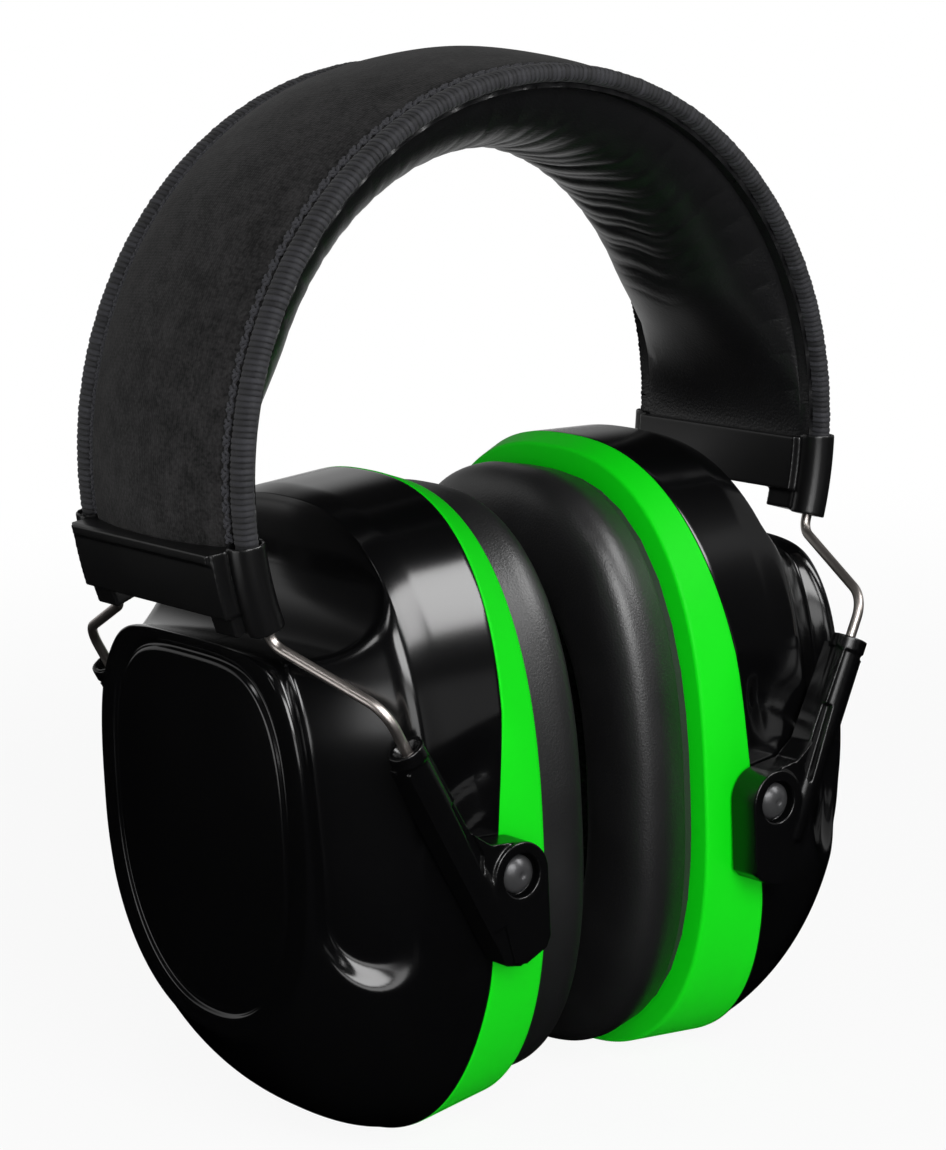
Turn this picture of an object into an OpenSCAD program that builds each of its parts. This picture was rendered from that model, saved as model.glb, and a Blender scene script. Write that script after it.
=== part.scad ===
// Earmuff hearing protector with a sprung wire headband.
// Millimetres. +Z is up, -Y is the front, -X is the left cup as seen from the front.
// The origin lies midway between the ears, on the line of the pivot pins.

/* [Headband] */
// Radius of the spring wire arch
arch_radius = 63.5; // [63.2:0.1:64.2]
// Height of the arch centre above the pivot pins
arch_height = 63.4; // [63:0.1:64]
// Half the spacing of the two spring wires
wire_offset = 22.5; // [22:0.25:23]
// Diameter of the spring wire
wire_diameter = 2.4; // [2.2:0.1:2.6]
// Depth of the crown pad at its middle
pad_depth = 10.5; // [6:0.5:11]
// Rise of the cover between its two edges
cover_rise = 2.8; // [1.5:0.1:3]

/* [Arms and pivots] */
// Lean of the arms from the vertical, in degrees
arm_lean = 27; // [26:0.5:28]
// Distance of the arm tube from the middle plane
arm_offset = 43.5; // [43.4:0.1:44]
// Outer radius of the arm tube
arm_radius = 3.1; // [2.8:0.1:3.1]
// Distance of the pivot pins from the middle of the head
pin_distance = 28.9; // [28.5:0.1:29.5]
// Radius of the pivot pin
pin_radius = 2.4; // [2:0.1:2.6]

/* [Cups] */
// Half the width of the cup
cup_half_width = 41; // [40:0.25:41.5]
// Height of the cup top above the pivot pins
cup_top = 61; // [60:0.5:62]
// Depth of the cup bottom below the pivot pins
cup_bottom = 52.8; // [52.5:0.1:54]
// Distance of the flat outer face from the middle of the head
face_distance = 60.4; // [60:0.2:61]
// Wall of the cup
cup_wall = 2.6; // [2.2:0.1:2.8]
// Depth of the hollow beside the arm
pocket_depth = 5.6; // [3:0.2:6]
// Radius of the notch that clears the end cap
notch_radius = 13; // [12.4:0.2:13.4]

/* [Cushions] */
// Distance of the cushion face from the middle of the head
seal_distance = 5; // [4.5:0.25:6]
// Half the width of the cushion
seal_half_width = 36.8; // [36:0.2:37]
// Half the width of the ear opening
ear_half_width = 19.5; // [18:0.5:20]

/* [Hidden] */
around = 56;
seal_around = 44;
// Turn of the band ends and of the end caps, in degrees from the horizontal
band_end = -5.2;
cap_top = -5.8;
cap_middle = -15.2;
cap_bottom = -18.7;
wire_end = -19.2;
// Gap between pieces that touch
touch = 0.05;
// Rim of the cup: where the ring and the shell part
part_slope = 0.104;
part_tilt_z = 28.9;
shoulder = 36;
ring_face = 18.2;

// Shared maths

function signed_power(value, power) = sign(value) * pow(abs(value), power);

function mix(first, second, share) = first + (second - first) * share;

function smooth(low, high, value) =
    let (share = min(1, max(0, (value - low) / (high - low))))
    share * share * (3 - 2 * share);

// A rounded outline: half width, top, bottom, widest height and the two fullness powers
function outline(half, top, bottom, middle, full_top, full_low, turn) =
    let (full = sin(turn) >= 0 ? full_top : full_low)
    let (reach = sin(turn) >= 0 ? top - middle : middle - bottom)
    [half * signed_power(cos(turn), 2 / full),
     middle + reach * signed_power(sin(turn), 2 / full)];

// Turns round an outline, drawn closer together where its sides are flattest
function even_turns(count) =
    [for (step = [0 : count - 1])
        let (turn = 360 * step / count)
        turn - 6 * sin(4 * turn)];

// Faces between rings of equal length; "ends" closes the first and last ring, else they join up
function loft_faces(count, rings, ends) = concat(
    [for (row = [0 : rings - (ends ? 2 : 1)], step = [0 : count - 1], half = [0, 1])
        let (next = (step + 1) % count)
        let (upper = (row + 1) % rings)
        half == 0
            ? [row * count + step, row * count + next, upper * count + next]
            : [row * count + step, upper * count + next, upper * count + step]],
    ends ? end_faces(count, 0, true) : [],
    ends ? end_faces(count, (rings - 1) * count, false) : []
);

// Triangles across a ring whose two halves run there and back
function end_faces(count, start, flip) =
    [for (step = [0 : count / 2 - 2], half = [0, 1])
        let (far = count - 1 - step)
        let (corners = half == 0 ? [step, step + 1, far - 1] : [step, far - 1, far])
        if (corners[1] != corners[2])
            [for (pick = flip ? [2, 1, 0] : [0, 1, 2]) start + corners[pick]]];

module loft(rings, ends = true) {
    polyhedron(
        points = [for (ring = rings) each ring],
        faces = loft_faces(len(rings[0]), len(rings), ends),
        convexity = 8
    );
}

// A solid swept about the axis of the arch, from one turn to another
module around_arch(first, last) {
    translate([0, 0, arch_height])
        rotate([90, 0, 0])
            rotate([0, 0, first])
                rotate_extrude(angle = last - first, $fn = 180)
                    children();
}

module radial_box(inner, outer, low, high) {
    translate([inner, low])
        square([outer - inner, high - low]);
}

// Carries a front piece to the rear
module to_rear() {
    mirror([0, 1, 0])
        children();
}

// Carries a right-hand piece to the left
module to_left() {
    mirror([1, 0, 0])
        children();
}

// Spring wires

function unit(way) = way / norm(way);

arm_mouth = [49.6, -arm_offset, 25.2];
arm_way = [-sin(arm_lean), 0, -cos(arm_lean)];
leg_bend = arm_mouth - arm_way * 7.4;
leg_foot = arm_mouth + arm_way * 36;
corner_reach = 2.2;
arch_leave = [
    arch_radius * cos(wire_end), -wire_offset, arch_height + arch_radius * sin(wire_end)
];
arch_corner = arch_leave + corner_reach * [sin(wire_end), 0, -cos(wire_end)];

// Moves a piece drawn along +Z from the origin so that it starts at one point along a way
module along(start, way) {
    turn = acos(way[2] / norm(way));
    translate(start)
        rotate([0, turn, atan2(way[1], way[0])])
            children();
}

module straight_wire(start, finish) {
    along(start, finish - start)
        cylinder(d = wire_diameter, h = norm(finish - start), $fn = 32);
}

// A bend of wire at a corner between two straight runs, a hair thicker so that it holds their ends
module wire_bend(before, corner, after, radius) {
    way_in = unit(corner - before);
    way_out = unit(after - corner);
    turn = acos(way_in * way_out);
    start = corner - way_in * radius * tan(turn / 2);
    side = unit(way_out - way_in * (way_in * way_out));
    up = cross(side, way_in);
    multmatrix([
        [-side[0], way_in[0], -up[0], start[0] + side[0] * radius],
        [-side[1], way_in[1], -up[1], start[1] + side[1] * radius],
        [-side[2], way_in[2], -up[2], start[2] + side[2] * radius],
        [0, 0, 0, 1]
    ])
        rotate_extrude(angle = turn, $fn = 90)
            translate([radius, 0])
                circle(d = wire_diameter + 0.06, $fn = 32);
}

function half_turn(before, corner, after) =
    acos(unit(corner - before) * unit(after - corner)) / 2;

module wire_leg() {
    lower = 6;
    lap = 0.3;
    upper = corner_reach / tan(half_turn(arch_leave, arch_corner, leg_bend));
    lower_cut = lower * tan(half_turn(arch_corner, leg_bend, leg_foot));
    flare = unit(leg_bend - arch_corner);
    wire_bend(arch_leave, arch_corner, leg_bend, upper);
    straight_wire(
        arch_corner + flare * (corner_reach - lap),
        leg_bend - flare * (lower_cut - lap)
    );
    wire_bend(arch_corner, leg_bend, leg_foot, lower);
    straight_wire(leg_bend + arm_way * (lower_cut - lap), leg_foot);
}

module front_wire() {
    color([0.78, 0.79, 0.8])
        union() {
            around_arch(wire_end - 0.3, 180.3 - wire_end)
                translate([arch_radius, wire_offset])
                    circle(d = wire_diameter, $fn = 32);
            wire_leg();
            to_left()
                wire_leg();
        }
}

module rear_wire() {
    to_rear()
        front_wire();
}

// Band: cover, lining, foam and bindings

binding_thick = 3;
binding_half = 2.3;
binding_middle = 22.7;
cover_thick = 1;
cover_half = binding_middle - binding_half - touch;
cover_low = arch_radius + 0.2;
cover_curve = (pow(cover_half, 2) + pow(cover_rise, 2)) / (2 * cover_rise);
cover_crest = cover_low + cover_thick + cover_rise;
band_half = 23.2;
tongue_half = 18.6;
tongue_end = -11;
tongue_step = 0.05;
lining_thick = 0.9;
lining_edge = arch_radius - binding_thick / 2 - touch - lining_thick;

// Radius of the underside of the cover at a distance from the middle plane
function cover_under(depth) =
    cover_crest - cover_curve + sqrt(pow(cover_curve - cover_thick, 2) - pow(depth, 2));

// Crowned strip of cloth, as wide as asked
module cover_profile(half) {
    intersection() {
        difference() {
            translate([cover_crest - cover_curve, 0])
                circle(r = cover_curve, $fn = 360);
            translate([cover_crest - cover_curve, 0])
                circle(r = cover_curve - cover_thick, $fn = 360);
        }
        radial_box(cover_low - 2, cover_crest + 1, -half, half);
    }
}

module band_cover() {
    color([0.16, 0.17, 0.19])
        difference() {
            around_arch(tongue_end, 180 - tongue_end)
                cover_profile(cover_half);
            for (side = [-1, 1])
                tongue_cuts(side * (tongue_half + cover_half + 1) / 2);
        }
}

// Narrows both ends of the cover to the tongues that the end caps hold
module tongue_cuts(middle) {
    half = (cover_half + 1 - tongue_half) / 2;
    for (start = [tongue_end - 1, 180 - band_end])
        around_arch(start, start + band_end - tongue_end + 1)
            radial_box(cover_low - 3, cover_crest + 2, middle - half, middle + half);
}

// Depth of the pad under its edge at one turn of the arch; it thins towards the end caps
function pad_swell(turn) =
    let (rise = min(turn, 180 - turn))
    mix(0.4, pad_depth, smooth(band_end, 26, rise));

// Profile of the pad crown across the band: from -1 at the front edge to +1 at the rear
function pad_crown(share) = pow(1 - pow(abs(share), 2.6), 0.62);

function arch_point(radius, depth, turn) =
    [radius * cos(turn), depth, arch_height + radius * sin(turn)];

crown_half = 20.4;
crown_steps = 12;

function crown_shares() =
    [for (step = [0 : crown_steps]) -cos(180 * step / crown_steps)];

// One cross-section of the lining: the crowned underside, then back along its upper side
function lining_ring(turn, half) =
    let (swell = pad_swell(turn))
    let (crown = min(crown_half, half - 0.2))
    concat(
        [arch_point(lining_edge, -half, turn)],
        [for (share = crown_shares())
            arch_point(lining_edge - swell * pad_crown(share), share * crown, turn)],
        [arch_point(lining_edge, half, turn),
         arch_point(lining_edge + lining_thick, half, turn)],
        [for (step = [crown_steps : -1 : 0])
            let (share = crown_shares()[step])
            arch_point(lining_edge + lining_thick - swell * pad_crown(share),
                share * (crown - lining_thick), turn)],
        [arch_point(lining_edge + lining_thick, -half, turn)]
    );

band_rows = 22;

function band_turn(row) =
    mix(band_end, 180 - band_end, 0.5 - 0.5 * cos(180 * mix(0.09, 0.91, row / band_rows))
        / cos(180 * 0.09));

module band_lining() {
    color([0.05, 0.05, 0.055])
        loft(concat(
            [lining_ring(tongue_end, tongue_half), lining_ring(band_end - tongue_step, tongue_half)],
            [for (row = [0 : band_rows]) lining_ring(band_turn(row), band_half)],
            [lining_ring(180 - band_end + tongue_step, tongue_half),
             lining_ring(180 - tongue_end, tongue_half)]
        ));
}

// One cross-section of the foam between the cover and the lining
function foam_ring(turn) =
    let (swell = pad_swell(turn))
    let (floor_radius = lining_edge + lining_thick + 0.1)
    let (half = crown_half - lining_thick - 0.2)
    let (shares = [for (step = [0 : 8]) -cos(180 * step / 8)])
    concat(
        [for (share = shares)
            arch_point(floor_radius - swell * pad_crown(share), share * half, turn)],
        [for (step = [8 : -1 : 0])
            arch_point(cover_under(shares[step] * half) - touch, shares[step] * half, turn)]
    );

module band_foam() {
    color([0.72, 0.7, 0.6])
        loft([for (row = [0 : band_rows]) foam_ring(band_turn(row))]);
}

// The sewn edge that wraps the front wire along the cover and the lining
module binding_profile() {
    corner = binding_thick / 2;
    difference() {
        union() {
            for (side = [-1, 1])
                translate([arch_radius, binding_middle + side * (binding_half - corner)])
                    circle(r = corner, $fn = 40);
            radial_box(arch_radius - corner, arch_radius + corner,
                binding_middle - binding_half + corner, binding_middle + binding_half - corner);
        }
        translate([arch_radius, wire_offset])
            circle(d = wire_diameter + 2 * touch, $fn = 32);
    }
}

module front_binding() {
    color([0.27, 0.3, 0.35])
        around_arch(cap_top - socket_depth + 0.3, 180.3 - cap_top + socket_depth - 0.6)
            binding_profile();
}

module rear_binding() {
    to_rear()
        front_binding();
}

// End cap: a flat sleeve over the band end with a tube round each wire

cap_outer = cover_crest + 1.6;
cap_inner = lining_edge - 2;
cap_tube = 3.1;
socket_depth = 1.8;
tube_rise = 0.5;

module cap_tube_solid(side) {
    around_arch(cap_bottom, cap_top + tube_rise)
        translate([arch_radius, side * wire_offset])
            circle(r = cap_tube, $fn = 48);
}

module cap_tube_bore(side) {
    around_arch(cap_bottom - 2, cap_top + 2)
        translate([arch_radius, side * wire_offset])
            circle(r = wire_diameter / 2 + touch, $fn = 32);
    around_arch(cap_top - socket_depth, cap_top + 2)
        translate([arch_radius, side * wire_offset])
            circle(r = cap_tube - 0.5, $fn = 48);
}

module right_end_cap() {
    leg_inner = 14.5;
    wall_half = wire_offset - 1.5;
    leg_outer = wall_half - 0.4;
    color([0.06, 0.06, 0.065])
        difference() {
            union() {
                around_arch(cap_middle, cap_top)
                    radial_box(cap_inner, cap_outer, -wall_half, wall_half);
                for (side = [-1, 1]) {
                    cap_tube_solid(side);
                    around_arch(cap_bottom + 0.4, cap_middle + 1)
                        translate([0, side * (leg_inner + leg_outer) / 2])
                            radial_box(cap_inner + 1.4, cap_outer - 1,
                                -(leg_outer - leg_inner) / 2, (leg_outer - leg_inner) / 2);
                }
                around_arch(cap_top - 1.5, cap_top - 0.2)
                    radial_box(cap_outer - 0.5, cap_outer + 0.7, -wall_half + 1, wall_half - 1);
            }
            around_arch(tongue_end - 0.4, cap_top + 1)
                radial_box(cap_inner + 1.5, cover_crest + 0.1, -tongue_half - 0.25,
                    tongue_half + 0.25);
            for (side = [-1, 1])
                cap_tube_bore(side);
        }
}

// Arm: a tube that slides on the wire leg, with the pivot lug and its foot

lug_radius = 5.6;
lug_inner = 39.9;
lug_outer = 45.4;
shield_outer = 46.1;
head_radius = 3.6;
head_seat = 44.2;
tube_length = 37;
collar_height = 2.4;
groove_floor = 44;
window_size = 2.8;
window_pitch = 5;
windows = 5;
// Length of a cut that passes right through a piece
through = 60;

// A place in X and Z, so far down from the mouth of the tube and so far out from its axis
function beside_tube(down, out) = [
    arm_mouth[0] + arm_way[0] * down + out * cos(arm_lean),
    arm_mouth[2] + arm_way[2] * down - out * sin(arm_lean)
];

// A place in X and Z, so far out from the pivot pin and so far up
function beside_pin(out, up) = [pin_distance + out, up];

// Outlines of the arm, seen from the front, in X and Z
module web_outline() {
    polygon([
        beside_tube(3.1, 2.7), beside_tube(1.5, -3), beside_tube(19.5, -3.5), beside_pin(5.3, 6.6),
        beside_pin(0, lug_radius), beside_pin(-lug_radius, 0), beside_pin(-lug_radius, -12.2),
        beside_pin(-4.3, -13.6), beside_pin(0.5, -15.6), beside_tube(43.7, 2.7)
    ]);
    translate([pin_distance, 0])
        circle(r = lug_radius, $fn = 60);
}

module shield_outline() {
    polygon([
        beside_pin(-lug_radius, 0), beside_pin(-lug_radius, -11.6), beside_pin(-4.6, -13.4),
        beside_pin(-0.3, -15.2), beside_pin(2.1, -14.6), beside_pin(5.1, -2.3)
    ]);
    translate([pin_distance, 0])
        circle(r = lug_radius, $fn = 60);
}

module groove_outline() {
    polygon([
        beside_tube(12.6, -1.4), beside_tube(12.6, -2.8), beside_tube(24.2, -3), beside_tube(27.1, -0.8)
    ]);
}

// Stands an outline up between two distances from the middle plane, at the front
module at_front(near, far) {
    translate([0, -near, 0])
        rotate([90, 0, 0])
            linear_extrude(far - near)
                children();
}

module arm_windows() {
    for (step = [0 : windows - 1])
        translate([1, -window_size / 2, -7 - window_pitch * step])
            cube([arm_radius + 1, window_size, window_size]);
}

module right_front_arm() {
    color([0.05, 0.05, 0.055])
        difference() {
            union() {
                at_front(lug_inner, lug_outer)
                    web_outline();
                at_front(lug_inner, shield_outer)
                    shield_outline();
                along(arm_mouth, arm_way)
                    cylinder(r = arm_radius, h = tube_length, $fn = 48);
                along(arm_mouth, arm_way)
                    cylinder(r = arm_radius + 0.35, h = collar_height, $fn = 48);
            }
            along(arm_mouth - arm_way, arm_way)
                cylinder(r = wire_diameter / 2 + touch, h = tube_length + 1.5, $fn = 32);
            along(arm_mouth - arm_way * 0.1, arm_way)
                cylinder(r1 = 2.3, r2 = wire_diameter / 2, h = 1.8, $fn = 48);
            translate(arm_mouth)
                rotate([0, arm_lean, 0])
                    arm_windows();
            at_front(groove_floor, through)
                groove_outline();
            translate([pin_distance, 0, 0])
                rotate([90, 0, 0])
                    cylinder(r = pin_radius + touch, h = through, $fn = 48);
            translate([pin_distance, -head_seat, 0])
                rotate([90, 0, 0])
                    cylinder(r = head_radius + 0.3, h = through, $fn = 48);
        }
}

module right_rear_arm() {
    to_rear()
        right_front_arm();
}

// Pivot pin: a shaft held in the shell boss and a domed head over the lug

boss_inner = 31;
boss_radius = 5;
boss_face = 39.6;
seat_radius = 26;
seat_cut = 20;

module right_front_pin() {
    dome = 7;
    rise = 1.9;
    color([0.1, 0.1, 0.105])
        union() {
            translate([pin_distance, -boss_inner - 1, 0])
                rotate([90, 0, 0])
                    cylinder(r = pin_radius, h = head_seat + 0.5 - boss_inner, $fn = 48);
            intersection() {
                translate([pin_distance, -head_seat - touch, 0])
                    rotate([90, 0, 0])
                        cylinder(r = head_radius, h = 4, $fn = 48);
                translate([pin_distance, dome - head_seat - rise, 0])
                    sphere(r = dome, $fn = 72);
            }
        }
}

module right_rear_pin() {
    to_rear()
        right_front_pin();
}

// Cup shell

function part_plane(height) = part_tilt_z - part_slope * height;

// How far the sides and the ends of the wall have turned from the rim (1) to the flat face (0)
function side_share(depth) = pow(1 - pow(depth, 2.8), 1 / 1.55);

function end_share(depth) = pow(1 - pow(depth, 1.6), 1 / 1.2);

// Half width, top, bottom and middle height of the panel and of the rim
panel_half = 26;
panel_top = 38;
panel_bottom = -27.5;
panel_middle = 6;
rim_middle = 2;

// Axis of the round notch on top, and the draft of its upright wall
notch_distance = 54;
notch_height = 50;
notch_draft = 12;

// Height of the notch floor at a distance from the head
function notch_floor(distance, wall) =
    let (reach = notch_radius + wall)
    let (upright = notch_distance - reach)
    distance <= upright
        ? notch_height + (upright - distance) * notch_draft
        : notch_height - sqrt(max(0, pow(reach, 2) - pow(distance - notch_distance, 2)));

// Depths at which the hollow beside the arm starts and ends, and the height of its lip
pocket_start = 0.2;
pocket_end = 0.93;
lip_spread = 7;

function dome_half(depth) = mix(panel_half, cup_half_width, side_share(depth));

function pocket_lip(depth) = -4 - 11 * sqrt(max(0, 1 - pow((depth - 0.58) / 0.31, 2)));

// How far the hollow goes in from the side of the dome, without its lip
function pocket_cut(depth) =
    let (share = (depth - pocket_start) / (pocket_end - pocket_start))
    let (level = mix(dome_half(pocket_start), dome_half(pocket_end) - pocket_depth, share))
    max(0, dome_half(depth) - level) * (1 - smooth(pocket_end, 0.965, depth));

// Point of the shell at a depth (0 shoulder, 1 face edge) and a turn, moved in by a wall
function dome_point(depth, turn, wall) =
    let (share = end_share(depth))
    let (distance = mix(shoulder, face_distance - wall, depth))
    let (flat = outline(
        dome_half(depth) - wall,
        mix(panel_top, cup_top, share) - wall,
        mix(panel_bottom, -cup_bottom, share) + wall,
        mix(panel_middle, rim_middle, share),
        mix(3.2, 2.5, share),
        mix(2.2, 2.5, share),
        turn))
    let (lip = pocket_lip(depth))
    let (cut = pocket_cut(depth) * smooth(lip - lip_spread, lip + lip_spread, flat[1]))
    [distance,
     flat[0] - sign(flat[0]) * cut * pow(abs(cos(turn)), 0.3),
     min(flat[1], notch_floor(distance, wall))];

// Ring of points on the parting plane, moved in by a wall
function rim_ring(wall, step_back) =
    [for (turn = even_turns(around))
        let (flat = outline(cup_half_width - wall, cup_top - wall, -cup_bottom + wall,
            rim_middle, 2.5, 2.5, turn))
        [part_plane(flat[1]) + step_back, flat[0], flat[1]]];

function dome_ring(depth, wall) =
    [for (turn = even_turns(around)) dome_point(depth, turn, wall)];

// Ring inside the face edge, shrunk towards the panel centre and raised by a small step
function panel_ring(shrink, rise, wall) =
    [for (turn = even_turns(around))
        let (edge = dome_point(1, turn, wall))
        [edge[0] + rise, edge[1] * shrink,
         panel_middle + (edge[2] - panel_middle) * shrink]];

outer_depths = [1, 0.97, 0.93, 0.88, 0.78, 0.66, 0.54, 0.43, 0.32, 0.25, 0.205, 0.16, 0.08, 0];
inner_depths = [0, 0.06, 0.12, 0.24, 0.48, 0.72, 0.9, 1];

module shell_body() {
    loft(concat(
        [panel_ring(0.02, 0.8, 0), panel_ring(0.6, 0.5, 0), panel_ring(0.94, 0.1, 0),
         panel_ring(0.955, -0.5, 0), panel_ring(0.985, -0.5, 0)],
        [for (depth = outer_depths) dome_ring(depth, 0)],
        [rim_ring(0, touch), rim_ring(cup_wall, touch)],
        [for (depth = inner_depths) dome_ring(depth, cup_wall)],
        [panel_ring(0.6, 0.4, cup_wall), panel_ring(0.02, 0.7, cup_wall)]
    ));
}

// The flat round pivot seat cut into both sides of the rim
module pivot_seats() {
    for (side = [-1, 1])
        translate([pin_distance, side * (boss_face + seat_cut / 2), 0])
            rotate([90, 0, 0])
                cylinder(r = seat_radius, h = seat_cut, center = true, $fn = 96);
}

module pivot_bosses(radius) {
    for (side = [-1, 1])
        translate([pin_distance, side * (boss_face + boss_inner) / 2, 0])
            rotate([90, 0, 0])
                cylinder(r = radius, h = boss_face - boss_inner, center = true, $fn = 60);
}

module pin_bores() {
    for (side = [-1, 1])
        translate([pin_distance, side * (boss_inner + 15), 0])
            rotate([90, 0, 0])
                cylinder(r = pin_radius - 0.01, h = 28, center = true, $fn = 48);
}

module right_shell() {
    color([0.04, 0.04, 0.045])
        difference() {
            union() {
                difference() {
                    shell_body();
                    pivot_seats();
                }
                pivot_bosses(boss_radius);
            }
            pin_bores();
        }
}

// Coloured ring between the shell and the cushion

flange_half = 24;

// Ring of points at a distance from the head, or on the parting plane plus a step
function flat_ring(half, top, bottom, distance) =
    [for (turn = even_turns(around))
        let (flat = outline(half, top, -bottom, rim_middle, 2.5, 2.5, turn))
        [distance, flat[0], flat[1]]];

module ring_body() {
    hoop = 2.3;
    lip = 2.2;
    flange_back = ring_face + 2.2;
    inner = cup_wall + 0.15;
    loft([
        rim_ring(0, 0),
        flat_ring(cup_half_width - 1.8, cup_top - 1.4, cup_bottom - 1.6, ring_face + 1),
        flat_ring(cup_half_width - 2.7, cup_top - 2.3, cup_bottom - 2.5, ring_face),
        flat_ring(flange_half, cup_top - 19, cup_bottom - 19, ring_face),
        flat_ring(flange_half, cup_top - 19, cup_bottom - 19, flange_back),
        flat_ring(cup_half_width - hoop - 2.6, cup_top - hoop - 2.3, cup_bottom - hoop - 2.5,
            flange_back),
        rim_ring(inner + 1.6, lip),
        rim_ring(inner, lip),
        rim_ring(inner, 0)
    ], false);
}

module right_ring() {
    color([0.02, 0.72, 0.03])
        difference() {
            ring_body();
            pivot_seats();
            pivot_bosses(boss_radius + 0.2);
        }
}

// Cushion: a clip-in plate, a foam ring and a leatherette skin

plate_back = ring_face - touch;
plate_front = plate_back - 2;
ear_top = cup_top - 25;
ear_bottom = cup_bottom - 24;
seal_top = cup_top - 4;
seal_bottom = cup_bottom - 4;

// Share 0 is the outer edge of the cushion and 1 is the edge of the ear opening
function cushion_point(share, distance, turn) =
    let (flat = outline(
        mix(seal_half_width, ear_half_width, share),
        mix(seal_top, ear_top, share),
        -mix(seal_bottom, ear_bottom, share),
        rim_middle, 2.5, 2.5, turn))
    [distance, flat[0], flat[1]];

function cushion_ring(share, distance) =
    [for (turn = even_turns(seal_around)) cushion_point(share, distance, turn)];

module cushion_outline(share) {
    polygon([for (turn = even_turns(seal_around))
        let (place = cushion_point(share, 0, turn))
        [place[1], place[2]]]);
}

// Stands a flat drawing in Y and Z up at a distance from the head, with a thickness
module upright(distance, thick) {
    translate([distance, 0, 0])
        rotate([90, 0, 90])
            linear_extrude(thick)
                children();
}

module right_cushion_plate() {
    color([0.08, 0.08, 0.085])
        union() {
            upright(plate_front, plate_back - plate_front)
                difference() {
                    cushion_outline(0.09);
                    cushion_outline(0.92);
                }
            upright(plate_back - 0.5, 3.2)
                difference() {
                    offset_outline(0.2);
                    cushion_outline(0.92);
                }
        }
}

// The collar of the plate, just inside the flange of the ring
module offset_outline(gap) {
    polygon([for (turn = even_turns(around))
        outline(flange_half - gap, cup_top - 19 - gap, -cup_bottom + 19 + gap, rim_middle,
            2.5, 2.5, turn)]);
}

// Crowned cross-section of the cushion, from its outer foot over the face to its inner foot
cushion_steps = 8;

function crown_rings(inset) =
    let (edge = inset / (seal_half_width - ear_half_width))
    let (crest = seal_distance + inset)
    let (waist = seal_distance + 6.2)
    [for (step = [0 : cushion_steps])
        let (turn = 180 * step / cushion_steps)
        cushion_ring(0.5 - (0.5 - edge) * signed_power(cos(turn), 2 / 2.8),
            waist - (waist - crest) * pow(sin(turn), 2 / 2.8))];

module right_cushion_skin() {
    skin = 0.9;
    foot = plate_front - touch;
    color([0.05, 0.05, 0.055])
        union() {
            loft(concat(
                [cushion_ring(0.06, foot)],
                crown_rings(0),
                [cushion_ring(0.96, foot), cushion_ring(0.96 - 0.055, foot)],
                [for (step = [cushion_steps : -1 : 0]) crown_rings(skin)[step]],
                [cushion_ring(0.06 + 0.055, foot)]
            ), false);
            upright(seal_distance - 0.02, skin * 0.6)
                difference() {
                    cushion_outline(0.36);
                    cushion_outline(0.66);
                }
        }
}

module right_cushion_foam() {
    foot = plate_front - touch;
    color([0.8, 0.76, 0.6])
        loft(concat(
            [cushion_ring(0.13, foot)],
            crown_rings(1.1),
            [cushion_ring(0.89, foot)]
        ), false);
}

// Sound-deadening foam: its back lies on the panel and its sides follow the wall of the shell
module right_cup_foam() {
    back = cup_wall + touch;
    side = cup_wall + 2.2;
    front = side + 7;
    color([0.2, 0.2, 0.21])
        loft(concat(
            [panel_ring(0.02, 0.7, back), panel_ring(0.6, 0.4, back), panel_ring(0.8, 0.2, back)],
            [for (depth = [0.9, 0.72, 0.48, 0.24]) dome_ring(depth, side)],
            [dome_ring(0.36, side + 4), dome_ring(0.6, front), dome_ring(0.95, front),
             panel_ring(0.02, 0, front)]
        ));
}

// Left-hand pieces mirror the right-hand ones

module left_end_cap() {
    to_left()
        right_end_cap();
}

module left_front_arm() {
    to_left()
        right_front_arm();
}

module left_rear_arm() {
    to_left()
        right_rear_arm();
}

module left_shell() {
    to_left()
        right_shell();
}

module left_ring() {
    to_left()
        right_ring();
}

module left_cushion_plate() {
    to_left()
        right_cushion_plate();
}

module left_cushion_foam() {
    to_left()
        right_cushion_foam();
}

module left_cushion_skin() {
    to_left()
        right_cushion_skin();
}

module left_cup_foam() {
    to_left()
        right_cup_foam();
}

module left_front_pin() {
    to_left()
        right_front_pin();
}

module left_rear_pin() {
    to_left()
        right_rear_pin();
}

// What is drawn

front_wire();
rear_wire();
band_cover();
band_lining();
band_foam();
front_binding();
rear_binding();
left_end_cap();
left_front_arm();
left_rear_arm();
left_shell();
left_ring();
left_cushion_plate();
left_cushion_foam();
left_cushion_skin();
left_cup_foam();
left_front_pin();
left_rear_pin();
right_end_cap();
right_front_arm();
right_rear_arm();
right_shell();
right_ring();
right_cushion_plate();
right_cushion_foam();
right_cushion_skin();
right_cup_foam();
right_front_pin();
right_rear_pin();
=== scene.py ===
"""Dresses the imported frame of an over-the-head earmuff with its finished shapes and materials.

Sizes are in millimetres and turns are in degrees, unless a name says otherwise. Turns of the band
run from the horizontal on the right (+X) over the crown at 90 to the horizontal on the left.
"""

import logging
import math
from contextlib import contextmanager
from dataclasses import dataclass
from enum import Enum
from typing import Callable, Iterator

import bpy
import numpy as np
from mathutils import Matrix, Vector

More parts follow.
